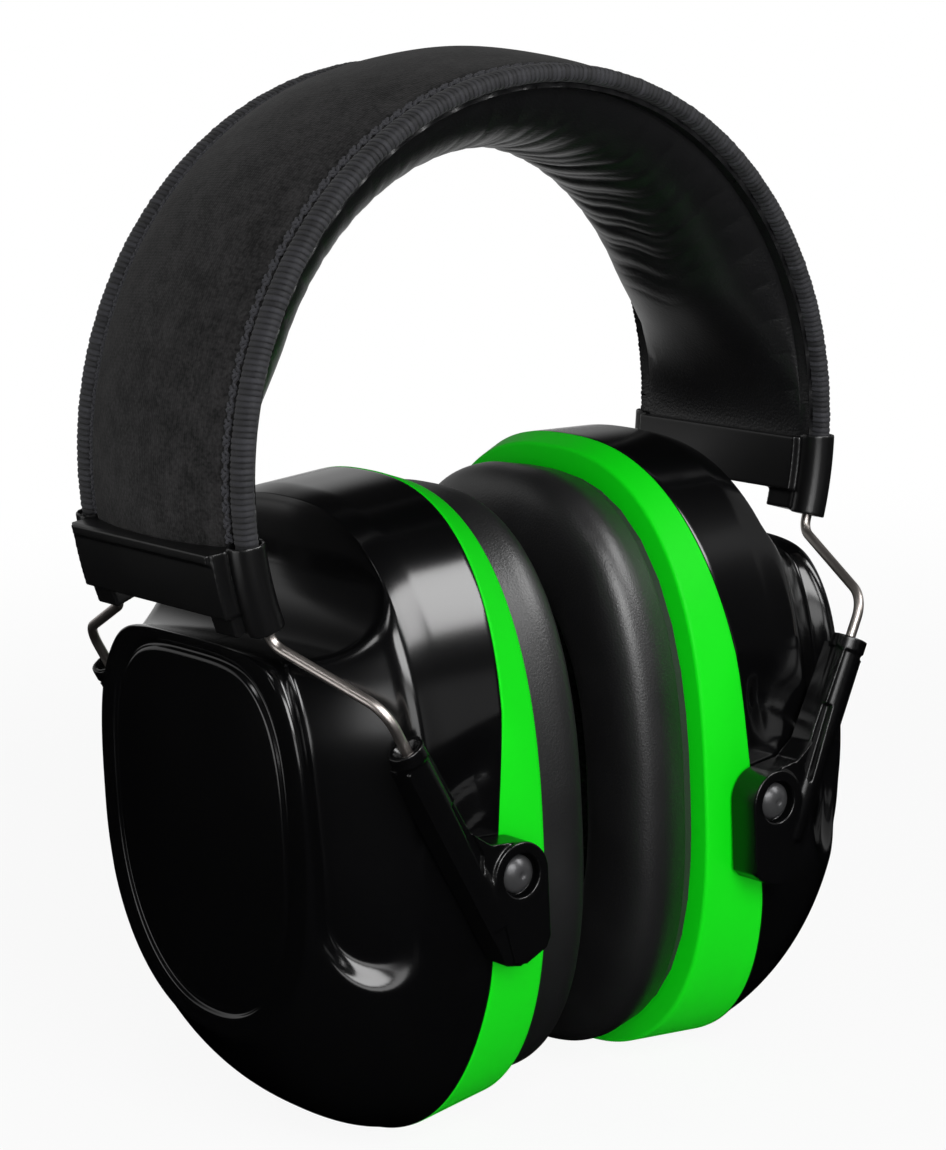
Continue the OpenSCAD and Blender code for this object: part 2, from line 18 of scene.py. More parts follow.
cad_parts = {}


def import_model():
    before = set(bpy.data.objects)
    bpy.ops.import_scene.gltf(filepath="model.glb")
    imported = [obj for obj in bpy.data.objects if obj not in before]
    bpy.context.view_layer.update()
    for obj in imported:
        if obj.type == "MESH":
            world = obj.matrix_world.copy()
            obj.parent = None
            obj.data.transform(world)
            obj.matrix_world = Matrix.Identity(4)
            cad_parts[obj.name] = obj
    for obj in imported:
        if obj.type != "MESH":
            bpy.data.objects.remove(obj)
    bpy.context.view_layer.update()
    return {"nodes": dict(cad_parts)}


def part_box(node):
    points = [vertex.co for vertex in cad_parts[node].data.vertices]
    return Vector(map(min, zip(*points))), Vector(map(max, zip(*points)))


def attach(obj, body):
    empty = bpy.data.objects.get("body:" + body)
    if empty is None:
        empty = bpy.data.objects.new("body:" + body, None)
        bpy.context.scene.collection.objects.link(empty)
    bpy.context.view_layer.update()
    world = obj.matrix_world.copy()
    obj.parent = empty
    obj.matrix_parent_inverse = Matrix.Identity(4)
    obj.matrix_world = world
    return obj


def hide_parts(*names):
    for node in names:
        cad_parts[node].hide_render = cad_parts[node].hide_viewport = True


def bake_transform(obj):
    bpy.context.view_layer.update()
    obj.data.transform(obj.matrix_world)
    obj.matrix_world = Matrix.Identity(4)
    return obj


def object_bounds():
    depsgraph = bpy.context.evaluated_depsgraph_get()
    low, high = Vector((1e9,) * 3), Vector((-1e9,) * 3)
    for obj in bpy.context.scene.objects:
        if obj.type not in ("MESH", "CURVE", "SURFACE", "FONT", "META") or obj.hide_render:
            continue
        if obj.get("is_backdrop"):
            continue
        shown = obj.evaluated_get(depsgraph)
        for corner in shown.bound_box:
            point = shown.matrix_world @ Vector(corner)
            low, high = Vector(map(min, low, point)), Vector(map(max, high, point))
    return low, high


LOG = logging.getLogger("earmuff")
MM = 0.001
SEAM_REACH = 1e-6
BLOCK_CUTS = 6
ROD_SIDES = 64
CUSHION_NODES = ("cushion_skin", "cushion_foam")
WHITE = (1.0, 1.0, 1.0, 1.0)
Piece = bpy.types.Object
Colour = tuple[float, float, float]
Place = tuple[float, float, float]
Value = np.ndarray | float
Span = tuple[float, float]


class Half(Enum):
    """One of two mirrored places; the value is the sign of their axis."""

    def node(self, part: str) -> str:
        """Names a node or a body of this place."""
        return f"{self.name.lower()}_{part}"


class Side(Half):
    """The two cups along X, as seen from the front."""

    LEFT = -1
    RIGHT = 1


class Edge(Half):
    """The two edges of the band along Y."""

    FRONT = -1
    REAR = 1


# Curves and nets


def mix(first: Value, second: Value, share: Value) -> np.ndarray:
    """Blends two values by a share from 0 to 1."""
    return first + (second - first) * share


def smooth(low: Value, high: Value, value: Value) -> np.ndarray:
    """Climbs smoothly from 0 at a low value to 1 at a high one."""
    share = np.clip((value - low) / (high - low), 0.0, 1.0)
    return share * share * (3.0 - 2.0 * share)


def soft_least(first: Value, second: Value, spread: float) -> np.ndarray:
    """Takes the smaller of two values and rounds the corner where they cross."""
    share = np.clip(0.5 + 0.5 * (second - first) / spread, 0.0, 1.0)
    return mix(second, first, share) - spread * share * (1.0 - share)


def signed_power(value: np.ndarray, power: Value) -> np.ndarray:
    """Raises a size to a power and keeps its sign."""
    return np.sign(value) * np.abs(value) ** power


def scatter(index: np.ndarray, seed: float) -> np.ndarray:
    """Gives each whole number its own fixed value from 0 to 1."""
    return np.modf(np.abs(np.sin(index * 12.9898 + seed * 78.233) * 43758.5453))[0]


def spaced(*stretches: tuple[float, float, int]) -> np.ndarray:
    """Strings stretches of evenly spaced values together.

    Args:
        stretches: First value, last value and number of steps of each stretch.

    Returns:
        The values, without the doubles where stretches meet.
    """
    runs = [np.linspace(first, last, steps + 1)[:-1] for first, last, steps in stretches]
    return np.concatenate([*runs, [stretches[-1][1]]])


def rounded_path(corners: np.ndarray, radii: tuple[float, ...], steps: int = 12) -> np.ndarray:
    """Rounds the inner corners of a line.

    Args:
        corners: Points of the line, one row each.
        radii: Radius at each inner corner.
        steps: Points on each rounded corner.

    Returns:
        Points along the rounded line.
    """
    points = [corners[0]]
    for before, corner, after, radius in zip(corners, corners[1:], corners[2:], radii):
        way_in = (corner - before) / np.linalg.norm(corner - before)
        way_out = (after - corner) / np.linalg.norm(after - corner)
        turn = math.acos(float(np.clip(way_in @ way_out, -1, 1)))
        side = way_out - way_in * (way_in @ way_out)
        side /= np.linalg.norm(side)
        start = corner - way_in * radius * math.tan(turn / 2)
        for step in np.linspace(0, turn, steps):
            points.append(start + radius * (way_in * math.sin(step) + side * (1 - math.cos(step))))
    return np.array([*points, corners[-1]])


def swept_net(path: np.ndarray, radius: float, sides: int) -> np.ndarray:
    """Sweeps a round section along a path without letting it twist.

    Args:
        path: Points along the middle line.
        radius: Radius of the section.
        sides: Points round the section.

    Returns:
        A net of places, one row for each point of the path.
    """
    ways = np.gradient(path, axis=0)
    ways /= np.linalg.norm(ways, axis=1, keepdims=True)
    lift = np.cross(ways[0], np.roll(ways[0], 1) + np.array([0.3, 0.5, 0.7]))
    turns = np.linspace(0, 2 * math.pi, sides + 1)
    rows = []
    for place, way in zip(path, ways):
        lift = lift - way * (lift @ way)
        lift /= np.linalg.norm(lift)
        side = np.cross(way, lift)
        section = np.outer(np.cos(turns), lift) + np.outer(np.sin(turns), side)
        rows.append(place + radius * section)
    return np.array(rows)


def heading(azimuth: float, elevation: float) -> Vector:
    """Points away from the object at an azimuth, 0 at the front and growing to the right."""
    around, over = math.radians(azimuth), math.radians(elevation)
    level = math.cos(over)
    return Vector((math.sin(around) * level, -math.cos(around) * level, math.sin(over)))


# Modelling with operators


def added(add: Callable[..., set[str]], **settings: object) -> Piece:
    """Runs an operator that adds an object, with nothing else selected, and gives the object."""
    bpy.ops.object.select_all(action="DESELECT")
    add(**settings)
    return bpy.context.active_object


def points_of(piece: Piece) -> np.ndarray:
    """Reads the places of a mesh's points, one row each."""
    points = np.empty(len(piece.data.vertices) * 3)
    piece.data.vertices.foreach_get("co", points)
    return points.reshape(-1, 3)


def keep_ridge_shade(piece: Piece, ridge: np.ndarray) -> Piece:
    """Keeps how far each point of a thread stands out, from 0 to 1, which sets its painted shade and
    painted light.
    """
    piece.data.attributes.new("ridge", "FLOAT", "POINT").data.foreach_set("value", ridge)
    return piece


def only(piece: Piece) -> None:
    """Selects one piece and makes it active."""
    bpy.ops.object.select_all(action="DESELECT")
    piece.select_set(True)
    bpy.context.view_layer.objects.active = piece


@contextmanager
def editing(piece: Piece) -> Iterator[None]:
    """Opens a piece in edit mode with all of it selected."""
    only(piece)
    bpy.ops.object.mode_set(mode="EDIT")
    bpy.ops.mesh.select_all(action="SELECT")
    yield
    bpy.ops.object.mode_set(mode="OBJECT")


def close_up(piece: Piece) -> Piece:
    """Merges a mesh's seams, fills its open ends and turns its faces outwards."""
    with editing(piece):
        bpy.ops.mesh.remove_doubles(threshold=SEAM_REACH)
        bpy.ops.mesh.fill_holes(sides=0)
        bpy.ops.mesh.normals_make_consistent(inside=False)
    return piece


def shade(piece: Piece, sharp: float) -> Piece:
    """Shades a piece smooth, apart from edges that turn by more than an angle."""
    only(piece)
    bpy.ops.object.shade_smooth_by_angle(angle=math.radians(sharp))
    return piece


def apply_modifier(piece: Piece, kind: str, **settings: object) -> Piece:
    """Adds a modifier with its settings and applies it."""
    only(piece)
    modifier = piece.modifiers.new(kind.title(), kind)
    for key, value in settings.items():
        setattr(modifier, key, value)
    bpy.ops.object.modifier_apply(modifier=modifier.name)
    return piece


def formed_net(
    name: str, net: np.ndarray, flat: np.ndarray | None = None, sharp: float = 40.0
) -> Piece:
    """Adds a grid, moves its points onto a net of places and closes it.

    Args:
        name: Name of the new piece.
        net: Places, by row, column and axis; a seam repeats its places.
        flat: Places on the UV map, by row, column and axis.
        sharp: Angle past which an edge stays sharp.

    Returns:
        The new piece.
    """
    rows, columns = net.shape[0] - 1, net.shape[1] - 1
    steps = {"x_subdivisions": columns, "y_subdivisions": rows}
    piece = added(bpy.ops.mesh.primitive_grid_add, size=2.0, **steps)
    piece.name = piece.data.name = name
    mesh = piece.data
    grid = (points_of(piece) + 1.0) / 2.0
    column = np.rint(grid[:, 0] * columns).astype(int)
    row = np.rint(grid[:, 1] * rows).astype(int)
    mesh.vertices.foreach_set("co", (net[row, column] * MM).ravel())
    if flat is not None:
        corners = np.empty(len(mesh.loops), dtype=np.int32)
        mesh.loops.foreach_get("vertex_index", corners)
        mesh.uv_layers.active.data.foreach_set("uv", flat[row, column][corners].ravel())
    mesh.update()
    return shade(close_up(piece), sharp)


def joined(name: str, pieces: list[Piece]) -> Piece:
    """Joins pieces into one under a new name."""
    only(pieces[0])
    for piece in pieces[1:]:
        piece.select_set(True)
    bpy.ops.object.join()
    pieces[0].name = pieces[0].data.name = name
    return pieces[0]


def mirrored(piece: Piece, name: str, axis: int) -> Piece:
    """Copies a piece to the other side of the middle plane across an axis."""
    only(piece)
    bpy.ops.object.duplicate(linked=False)
    twin = bpy.context.active_object
    twin.name = twin.data.name = name
    twin.scale[axis] = -1.0
    bpy.ops.object.transform_apply(location=False, rotation=False, scale=True)
    with editing(twin):
        bpy.ops.mesh.normals_make_consistent(inside=False)
    return twin


def both_sides(right: Piece) -> tuple[tuple[Side, Piece], ...]:
    """Mirrors a piece of the right to the left and gives both with their sides."""
    left = mirrored(right, right.name.replace("right", "left"), 0)
    return (Side.LEFT, left), (Side.RIGHT, right)


def block(low: Place, high: Place) -> Piece:
    """Adds a box between two corners, cut into small faces so that it can be bent."""
    piece = added(bpy.ops.mesh.primitive_cube_add, size=2.0)
    with editing(piece):
        bpy.ops.mesh.subdivide(number_cuts=BLOCK_CUTS)
    place_points(piece, lambda unit: mix(np.array(low), np.array(high), (unit + 1.0) / 2.0))
    return piece


def rod(start: np.ndarray, finish: np.ndarray, radius: float, tip: float | None = None) -> Piece:
    """Adds a round rod, or a cone, between two points.

    Args:
        start: Middle of its first end.
        finish: Middle of its second end.
        radius: Radius at the first end.
        tip: Radius at the second end, where it differs.

    Returns:
        The rod.
    """
    way = Vector((finish - start) * MM)
    piece = added(
        bpy.ops.mesh.primitive_cone_add,
        vertices=ROD_SIDES,
        radius1=radius * MM,
        radius2=(radius if tip is None else tip) * MM,
        depth=way.length,
        location=Vector((start + finish) / 2 * MM),
        rotation=way.to_track_quat("Z", "Y").to_euler(),
    )
    bpy.ops.object.transform_apply(location=True, rotation=True, scale=True)
    return piece


def plate(outline: np.ndarray, near: float, far: float) -> Piece:
    """Draws an outline in X and Z and extrudes it along Y.

    Args:
        outline: Points of the outline, one row of X and Z each.
        near: Y of the drawn face.
        far: Y of the extruded face.

    Returns:
        The plate.
    """
    piece = added(bpy.ops.mesh.primitive_circle_add, vertices=len(outline), fill_type="NGON")
    drawn = np.insert(outline, 1, near, axis=1) * MM
    piece.data.vertices.foreach_set("co", drawn.ravel())
    piece.data.update()
    move = {"value": (0.0, (far - near) * MM, 0.0)}
    with editing(piece):
        bpy.ops.mesh.extrude_region_move(TRANSFORM_OT_translate=move)
        bpy.ops.mesh.select_all(action="SELECT")
        bpy.ops.mesh.normals_make_consistent(inside=False)
    return piece


def place_points(piece: Piece, move: Callable[[np.ndarray], np.ndarray]) -> Piece:
    """Moves every point of a mesh by a rule from its own units to millimetres."""
    piece.data.vertices.foreach_set("co", (move(points_of(piece)) * MM).ravel())
    piece.data.update()
    return piece


def moulded(name: str, solids: list[Piece], cuts: list[Piece], voxel: float, rounds: int) -> Piece:
    """Fuses solids, cuts pieces away and rounds every edge as a mould does.

    Args:
        name: Name of the finished piece.
        solids: Closed shapes that make up the piece.
        cuts: Closed shapes to cut away.
        voxel: Size of the faces of the finished piece.
        rounds: Passes of smoothing.

    Returns:
        The moulded piece.
    """
    body = solids[0]
    for way, others in (("UNION", solids[1:]), ("DIFFERENCE", cuts)):
        for other in others:
            apply_modifier(body, "BOOLEAN", operation=way, object=other, solver="EXACT")
            bpy.data.objects.remove(other)
    body.name = body.data.name = name
    apply_modifier(body, "REMESH", mode="VOXEL", voxel_size=voxel * MM)
    apply_modifier(body, "SMOOTH", factor=0.5, iterations=rounds)
    return shade(body, 180.0)


# Shader maths


class Link:
    """A shader socket that takes part in Python expressions."""

    def __init__(self, tint: "Tint", socket: bpy.types.NodeSocket) -> None:
        """Wraps a socket of a material's node tree."""
        self.tint = tint
        self.socket = socket

    def math(self, operation: str, *terms: "Link | float") -> "Link":
        """Adds a Math node with this operation on some terms."""
        made = self.tint.node("ShaderNodeMath", {"operation": operation}, dict(enumerate(terms)))
        return Link(self.tint, made.outputs[0])

    def __add__(self, other: "Link | float") -> "Link":
        """Adds."""
        return self.math("ADD", self, other)

    __radd__ = __add__

    def __sub__(self, other: "Link | float") -> "Link":
        """Takes a term away."""
        return self.math("SUBTRACT", self, other)

    def __rsub__(self, other: float) -> "Link":
        """Is taken away from a number."""
        return self.math("SUBTRACT", other, self)

    def __mul__(self, other: "Link | float") -> "Link":
        """Multiplies."""
        return self.math("MULTIPLY", self, other)

    __rmul__ = __mul__

    def sine(self) -> "Link":
        """Takes the sine."""
        return self.math("SINE", self)

    def size(self) -> "Link":
        """Drops the sign."""
        return self.math("ABSOLUTE", self)

    def most(self, other: "Link") -> "Link":
        """Takes the larger of two values."""
        return self.math("MAXIMUM", self, other)


class Tint:
    """The node tree of a material or of the world."""

    def __init__(self, owner: bpy.types.Material | bpy.types.World) -> None:
        """Empties the owner's tree."""
        self.owner = owner
        owner.use_nodes = True
        self.tree = owner.node_tree
        self.tree.nodes.clear()

    @classmethod
    def of_material(cls, name: str) -> "Tint":
        """Makes a new material with an empty tree."""
        return cls(bpy.data.materials.new(name))

    def node(
        self, kind: str, settings: dict | None = None, feeds: dict | None = None
    ) -> bpy.types.Node:
        """Adds a node.

        Args:
            kind: Type of the node.
            settings: The node's own properties.
            feeds: Values or links by the name or number of a socket.

        Returns:
            The node.
        """
        made = self.tree.nodes.new(kind)
        for key, value in (settings or {}).items():
            setattr(made, key, value)
        for key, value in (feeds or {}).items():
            if isinstance(value, Link):
                self.tree.links.new(value.socket, made.inputs[key])
            else:
                made.inputs[key].default_value = value
        return made

    def link(
        self, kind: str, output: str, settings: dict | None = None, feeds: dict | None = None
    ) -> Link:
        """Adds a node and gives one of its outputs."""
        return Link(self, self.node(kind, settings, feeds).outputs[output])

    def place(self) -> Link:
        """Gives the place on the piece, in metres."""
        return self.link("ShaderNodeTexCoord", "Object")

    def noise(self, scale: float, detail: float = 2.0, place: Link | None = None) -> Link:
        """Gives a cloudy pattern with a number of features to the metre."""
        feeds = {"Vector": place or self.place(), "Scale": scale, "Detail": detail}
        return self.link("ShaderNodeTexNoise", "Fac", None, feeds)

    def cells(self, scale: float) -> Link:
        """Gives the distance from the middle of scattered cells."""
        feeds = {"Vector": self.place(), "Scale": scale}
        return self.link("ShaderNodeTexVoronoi", "Distance", None, feeds)

    def own(self, name: str) -> Link:
        """Gives a value that the piece keeps for each of its points."""
        return self.link("ShaderNodeAttribute", "Fac", {"attribute_name": name})

    def across(self) -> tuple[Link, Link]:
        """Gives the two places on the piece's UV map, in millimetres."""
        flat = self.link("ShaderNodeUVMap", "UV")
        split = self.node("ShaderNodeSeparateXYZ", None, {"Vector": flat})
        return Link(self, split.outputs["X"]), Link(self, split.outputs["Y"])

    def shades(self, dark: Colour, light: Colour, share: Link) -> Link:
        """Mixes two colours by a share."""
        feeds = {0: share, 6: (*dark, 1.0), 7: (*light, 1.0)}
        made = self.node("ShaderNodeMix", {"data_type": "RGBA"}, feeds)
        return Link(self, made.outputs[2])

    def bump(self, height: Link, depth: float) -> Link:
        """Turns a height from 0 to 1 into a normal, with the depth in millimetres."""
        feeds = {"Height": height, "Distance": depth * MM}
        return self.link("ShaderNodeBump", "Normal", None, feeds)

    def surface(self, **feeds: object) -> bpy.types.Material:
        """Closes the tree with a Principled shader, whose sockets are named with underscores."""
        words = (key.replace("_", " ").title().replace("Ior", "IOR") for key in feeds)
        shader = self.node("ShaderNodeBsdfPrincipled", None, dict(zip(words, feeds.values())))
        return self.output(shader.outputs["BSDF"])

    def output(self, socket: bpy.types.NodeSocket) -> bpy.types.Material:
        """Closes a material's tree with a shader socket."""
        self.node("ShaderNodeOutputMaterial", None, {"Surface": Link(self, socket)})
        return self.owner

    def ramp(self, value: Link, low: float, high: float) -> Link:
        """Climbs smoothly from 0 at a low value to 1 at a high one."""
        feeds = {"Value": value, "From Min": low, "From Max": high}
        settings = {"interpolation_type": "SMOOTHSTEP"}
        return self.link("ShaderNodeMapRange", "Result", settings, feeds)

    def along(self, place: Link, way: Vector) -> Link:
        """Gives how far a place lies along a way."""
        feeds = {0: place, 1: tuple(way)}
        return self.link("ShaderNodeVectorMath", "Value", {"operation": "DOT_PRODUCT"}, feeds)

    def ray(self, kind: str) -> Link:
        """Gives 1 on rays of a kind."""
        return self.link("ShaderNodeLightPath", f"Is {kind} Ray")


@dataclass(frozen=True)
class MouldedPlastic:
    """Plastic from a mould: faint sink marks, handling marks and a fine grain."""

    name: str
    colour: Colour
    gloss_roughness: float
    mark_spread: float
    grain_depth: float
    grain_scale: float = 2600.0
    sink_depth: float = 0.05
    ior: float = 1.58

    def material(self) -> bpy.types.Material:
        """Builds the finish."""
        tint = Tint.of_material(self.name)
        marks = tint.noise(45.0, 4.0)
        grain = tint.noise(self.grain_scale, 2.0)
        sink = tint.noise(60.0, 1.0)
        lighter = tuple(min(1.0, part * 1.15 + 0.0002) for part in self.colour)
        height = grain * self.grain_depth + sink * self.sink_depth
        return tint.surface(
            base_color=tint.shades(self.colour, lighter, marks),
            roughness=marks * self.mark_spread + (self.gloss_roughness - self.mark_spread / 2),
            ior=self.ior,
            normal=tint.bump(height, 1.0),
        )


@dataclass(frozen=True)
class Leatherette:
    """Coated cloth with a pebbled grain."""

    name: str
    colour: Colour
    roughness: float
    pebble_scale: float
    pebble_depth: float
    shine: float = 0.7

    def material(self) -> bpy.types.Material:
        """Builds the finish."""
        tint = Tint.of_material(self.name)
        pebbles = tint.cells(self.pebble_scale)
        pores = tint.noise(self.pebble_scale * 1.9, 3.0)
        wear = tint.noise(70.0, 3.0)
        height = (1.0 - pebbles) * 0.7 + pores * 0.5
        lighter = tuple(part * 1.5 + 0.002 for part in self.colour)
        return tint.surface(
            base_color=tint.shades(self.colour, lighter, wear * pores),
            roughness=self.roughness - 0.07 + wear * 0.14,
            specular_ior_level=self.shine,
            normal=tint.bump(height, self.pebble_depth),
        )


@dataclass(frozen=True)
class KnitCloth:
    """Fine charcoal knit with a brushed face."""

    name: str
    dark: Colour
    light: Colour
    pitch: float
    depth: float

    def material(self) -> bpy.types.Material:
        """Builds the finish on the UV map, which is in millimetres."""
        tint = Tint.of_material(self.name)
        across, along = tint.across()
        fuzz = tint.noise(1500.0, 3.0)
        drift = (tint.noise(400.0, 2.0) - 0.5) * 1.6
        wales = (across * (math.pi / self.pitch) + drift).sine().size()
        courses = (along * (math.pi / self.pitch) + drift + wales * 0.9).sine().size()
        mottle = tint.noise(260.0, 4.0)
        patches = tint.noise(55.0, 2.0)
        height = wales * 0.14 + courses * 0.14 + fuzz * 0.6
        # Faint painted shade: the colour darkens a little in the valleys between the courses, where the
        # bump sinks; fuzz, mottle and patches vary the tone at random.
        share = courses * 0.06 + fuzz * 2.2 + mottle * 1.6 + patches * 0.5 - 1.72
        return tint.surface(
            base_color=tint.shades(self.dark, self.light, share),
            roughness=0.82 + fuzz * 0.15,
            sheen_weight=0.06,
            sheen_roughness=0.5,
            specular_ior_level=0.15,
            normal=tint.bump(height, self.depth),
        )


@dataclass(frozen=True)
class SewingThread:
    """Twisted thread, with painted shade in the valleys between its turns and painted light on their
    crests.
    """

    name: str
    dark: Colour
    light: Colour

    def material(self) -> bpy.types.Material:
        """Builds the finish."""
        tint = Tint.of_material(self.name)
        ridge = tint.own("ridge")
        fibres = tint.noise(3200.0, 3.0)
        # Painted shade and painted light: the colour darkens towards the valleys between the turns and
        # lightens on their crests, following the kept ridge value.
        return tint.surface(
            base_color=tint.shades(self.dark, self.light, ridge * 1.5 + fibres * 0.3 - 0.65),
            roughness=0.68 + fibres * 0.2,
            sheen_weight=0.08,
            sheen_roughness=0.45,
            normal=tint.bump(fibres, 0.06),
        )


@dataclass(frozen=True)
class DrawnMetal:
    """Drawn and polished wire, or a blackened rivet."""

    name: str
    colour: Colour
    roughness: float
    metallic: float

    def material(self) -> bpy.types.Material:
        """Builds the finish."""
        tint = Tint.of_material(self.name)
        streaks = tint.noise(900.0, 4.0)
        haze = tint.noise(120.0, 2.0)
        darker = tuple(part * 0.72 for part in self.colour)
        return tint.surface(
            base_color=tint.shades(darker, self.colour, streaks * 0.6 + haze * 0.5),
            metallic=self.metallic,
            roughness=self.roughness - 0.03 + haze * 0.06,
            normal=tint.bump(streaks, 0.0015),
        )


@dataclass(frozen=True)
class OpenFoam:
    """Open-cell foam, with painted shade in its pores."""

    name: str
    colour: Colour

    def material(self) -> bpy.types.Material:
        """Builds the finish."""
        tint = Tint.of_material(self.name)
        pores = tint.cells(900.0)
        # Painted shade: each pore is darkest at its middle, where the bump sinks, using a darker copy
        # of the foam's own colour.
        holes = tuple(part * 0.35 for part in self.colour)
        return tint.surface(
            base_color=tint.shades(holes, self.colour, pores * 1.4),
            roughness=0.95,
            specular_ior_level=0.1,
            normal=tint.bump(pores, 0.5),
        )


class Finishes:
    """Every finish of the earmuff."""

    def __init__(self) -> None:
        """Builds the materials once, so that pieces can share them."""
        self.shell = MouldedPlastic(
            "shell_gloss", (0.0016, 0.0016, 0.0018), 0.16, 0.05, 0.0006
        ).material()
        self.arm = MouldedPlastic(
            "arm_gloss", (0.0014, 0.0014, 0.0016), 0.25, 0.08, 0.002
        ).material()
        self.cap = MouldedPlastic(
            "cap_satin", (0.003, 0.003, 0.0032), 0.32, 0.1, 0.006
        ).material()
        self.ring = MouldedPlastic(
            "ring_green", (0.002, 0.56, 0.005), 0.5, 0.08, 0.003, ior=1.22
        ).material()
        self.plate = MouldedPlastic(
            "plate_satin", (0.02, 0.02, 0.021), 0.45, 0.1, 0.006
        ).material()
        self.cushion = Leatherette(
            "cushion_leatherette", (0.005, 0.005, 0.0054), 0.43, 2500.0, 0.03, shine=1.0
        ).material()
        self.lining = Leatherette(
            "lining_leatherette", (0.004, 0.004, 0.0044), 0.37, 1900.0, 0.05
        ).material()
        self.cloth = KnitCloth(
            "cover_knit", (0.003, 0.003, 0.003), (0.021, 0.0202, 0.0206), pitch=0.52, depth=0.13
        ).material()
        self.thread = SewingThread(
            "edge_thread", dark=(0.0015, 0.0015, 0.0018), light=(0.024, 0.0242, 0.029)
        ).material()
        self.wire = DrawnMetal("spring_wire", (0.76, 0.7, 0.66), 0.38, metallic=1.0).material()
        self.pin = DrawnMetal("rivet_black", (0.075, 0.075, 0.078), 0.32, metallic=0.5).material()
        self.foam = OpenFoam("cup_foam", (0.05, 0.05, 0.052)).material()


def dress(piece: Piece, finish: bpy.types.Material) -> Piece:
    """Gives a piece one finish all over."""
    piece.data.materials.clear()
    piece.data.materials.append(finish)
    return piece


def tie(piece: Piece, finish: bpy.types.Material, slot: str, *nodes: str) -> None:
    """Dresses a piece that already has its body and hides the CAD nodes it stands for.

    Args:
        piece: The piece.
        finish: Its material.
        slot: Not used.
        nodes: The CAD nodes it stands for.
    """
    dress(piece, finish)
    if nodes:
        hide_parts(*nodes)
    LOG.info("dressed %s", piece.name)


# Headband


@dataclass(frozen=True)
class Arch:
    """The arch of the spring wires, measured on the frame."""

    radius: float
    height: float
    cap_top: float = -5.8
    binding_thick: float = 3.0

    @classmethod
    def measured(cls) -> "Arch":
        """Reads the arch from the bound edge, which follows it."""
        _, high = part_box("front_binding")
        reach = high.x / MM
        return cls(radius=reach - cls.binding_thick / 2, height=high.z / MM - reach)

    def at(self, radius: Value, depth: Value, turn: Value) -> np.ndarray:
        """Gives places on the arch.

        Args:
            radius: Distance from the axis of the arch.
            depth: Y of the places.
            turn: Turn about the axis.

        Returns:
            The places, with the axes last.
        """
        around = np.radians(turn)
        out, up = radius * np.cos(around), self.height + radius * np.sin(around)
        return np.stack(np.broadcast_arrays(out, depth, up), axis=-1)

    def arc(self, turn: Value) -> np.ndarray:
        """Gives the length along the wire from the horizontal."""
        return np.radians(turn) * self.radius

    def turns(self, side: Side, end: float, steps: int) -> np.ndarray:
        """Gives turns from the crown down to one end on one side.

        Args:
            side: The side of the band.
            end: Turn of the end on the right.
            steps: Number of steps.

        Returns:
            The turns, from the crown on.
        """
        down = np.linspace(90.0, end, steps + 1)
        return down if side is Side.RIGHT else 180.0 - down


def rise_of(turn: np.ndarray) -> np.ndarray:
    """Gives the turn from the nearer horizontal."""
    return np.minimum(turn, 180.0 - turn)


def across_shares(count: int) -> np.ndarray:
    """Gives a row of shares from -1 to 1 across the band, closer together at its edges."""
    return np.sin(np.linspace(-90, 90, count) * math.pi / 180)[None, :]


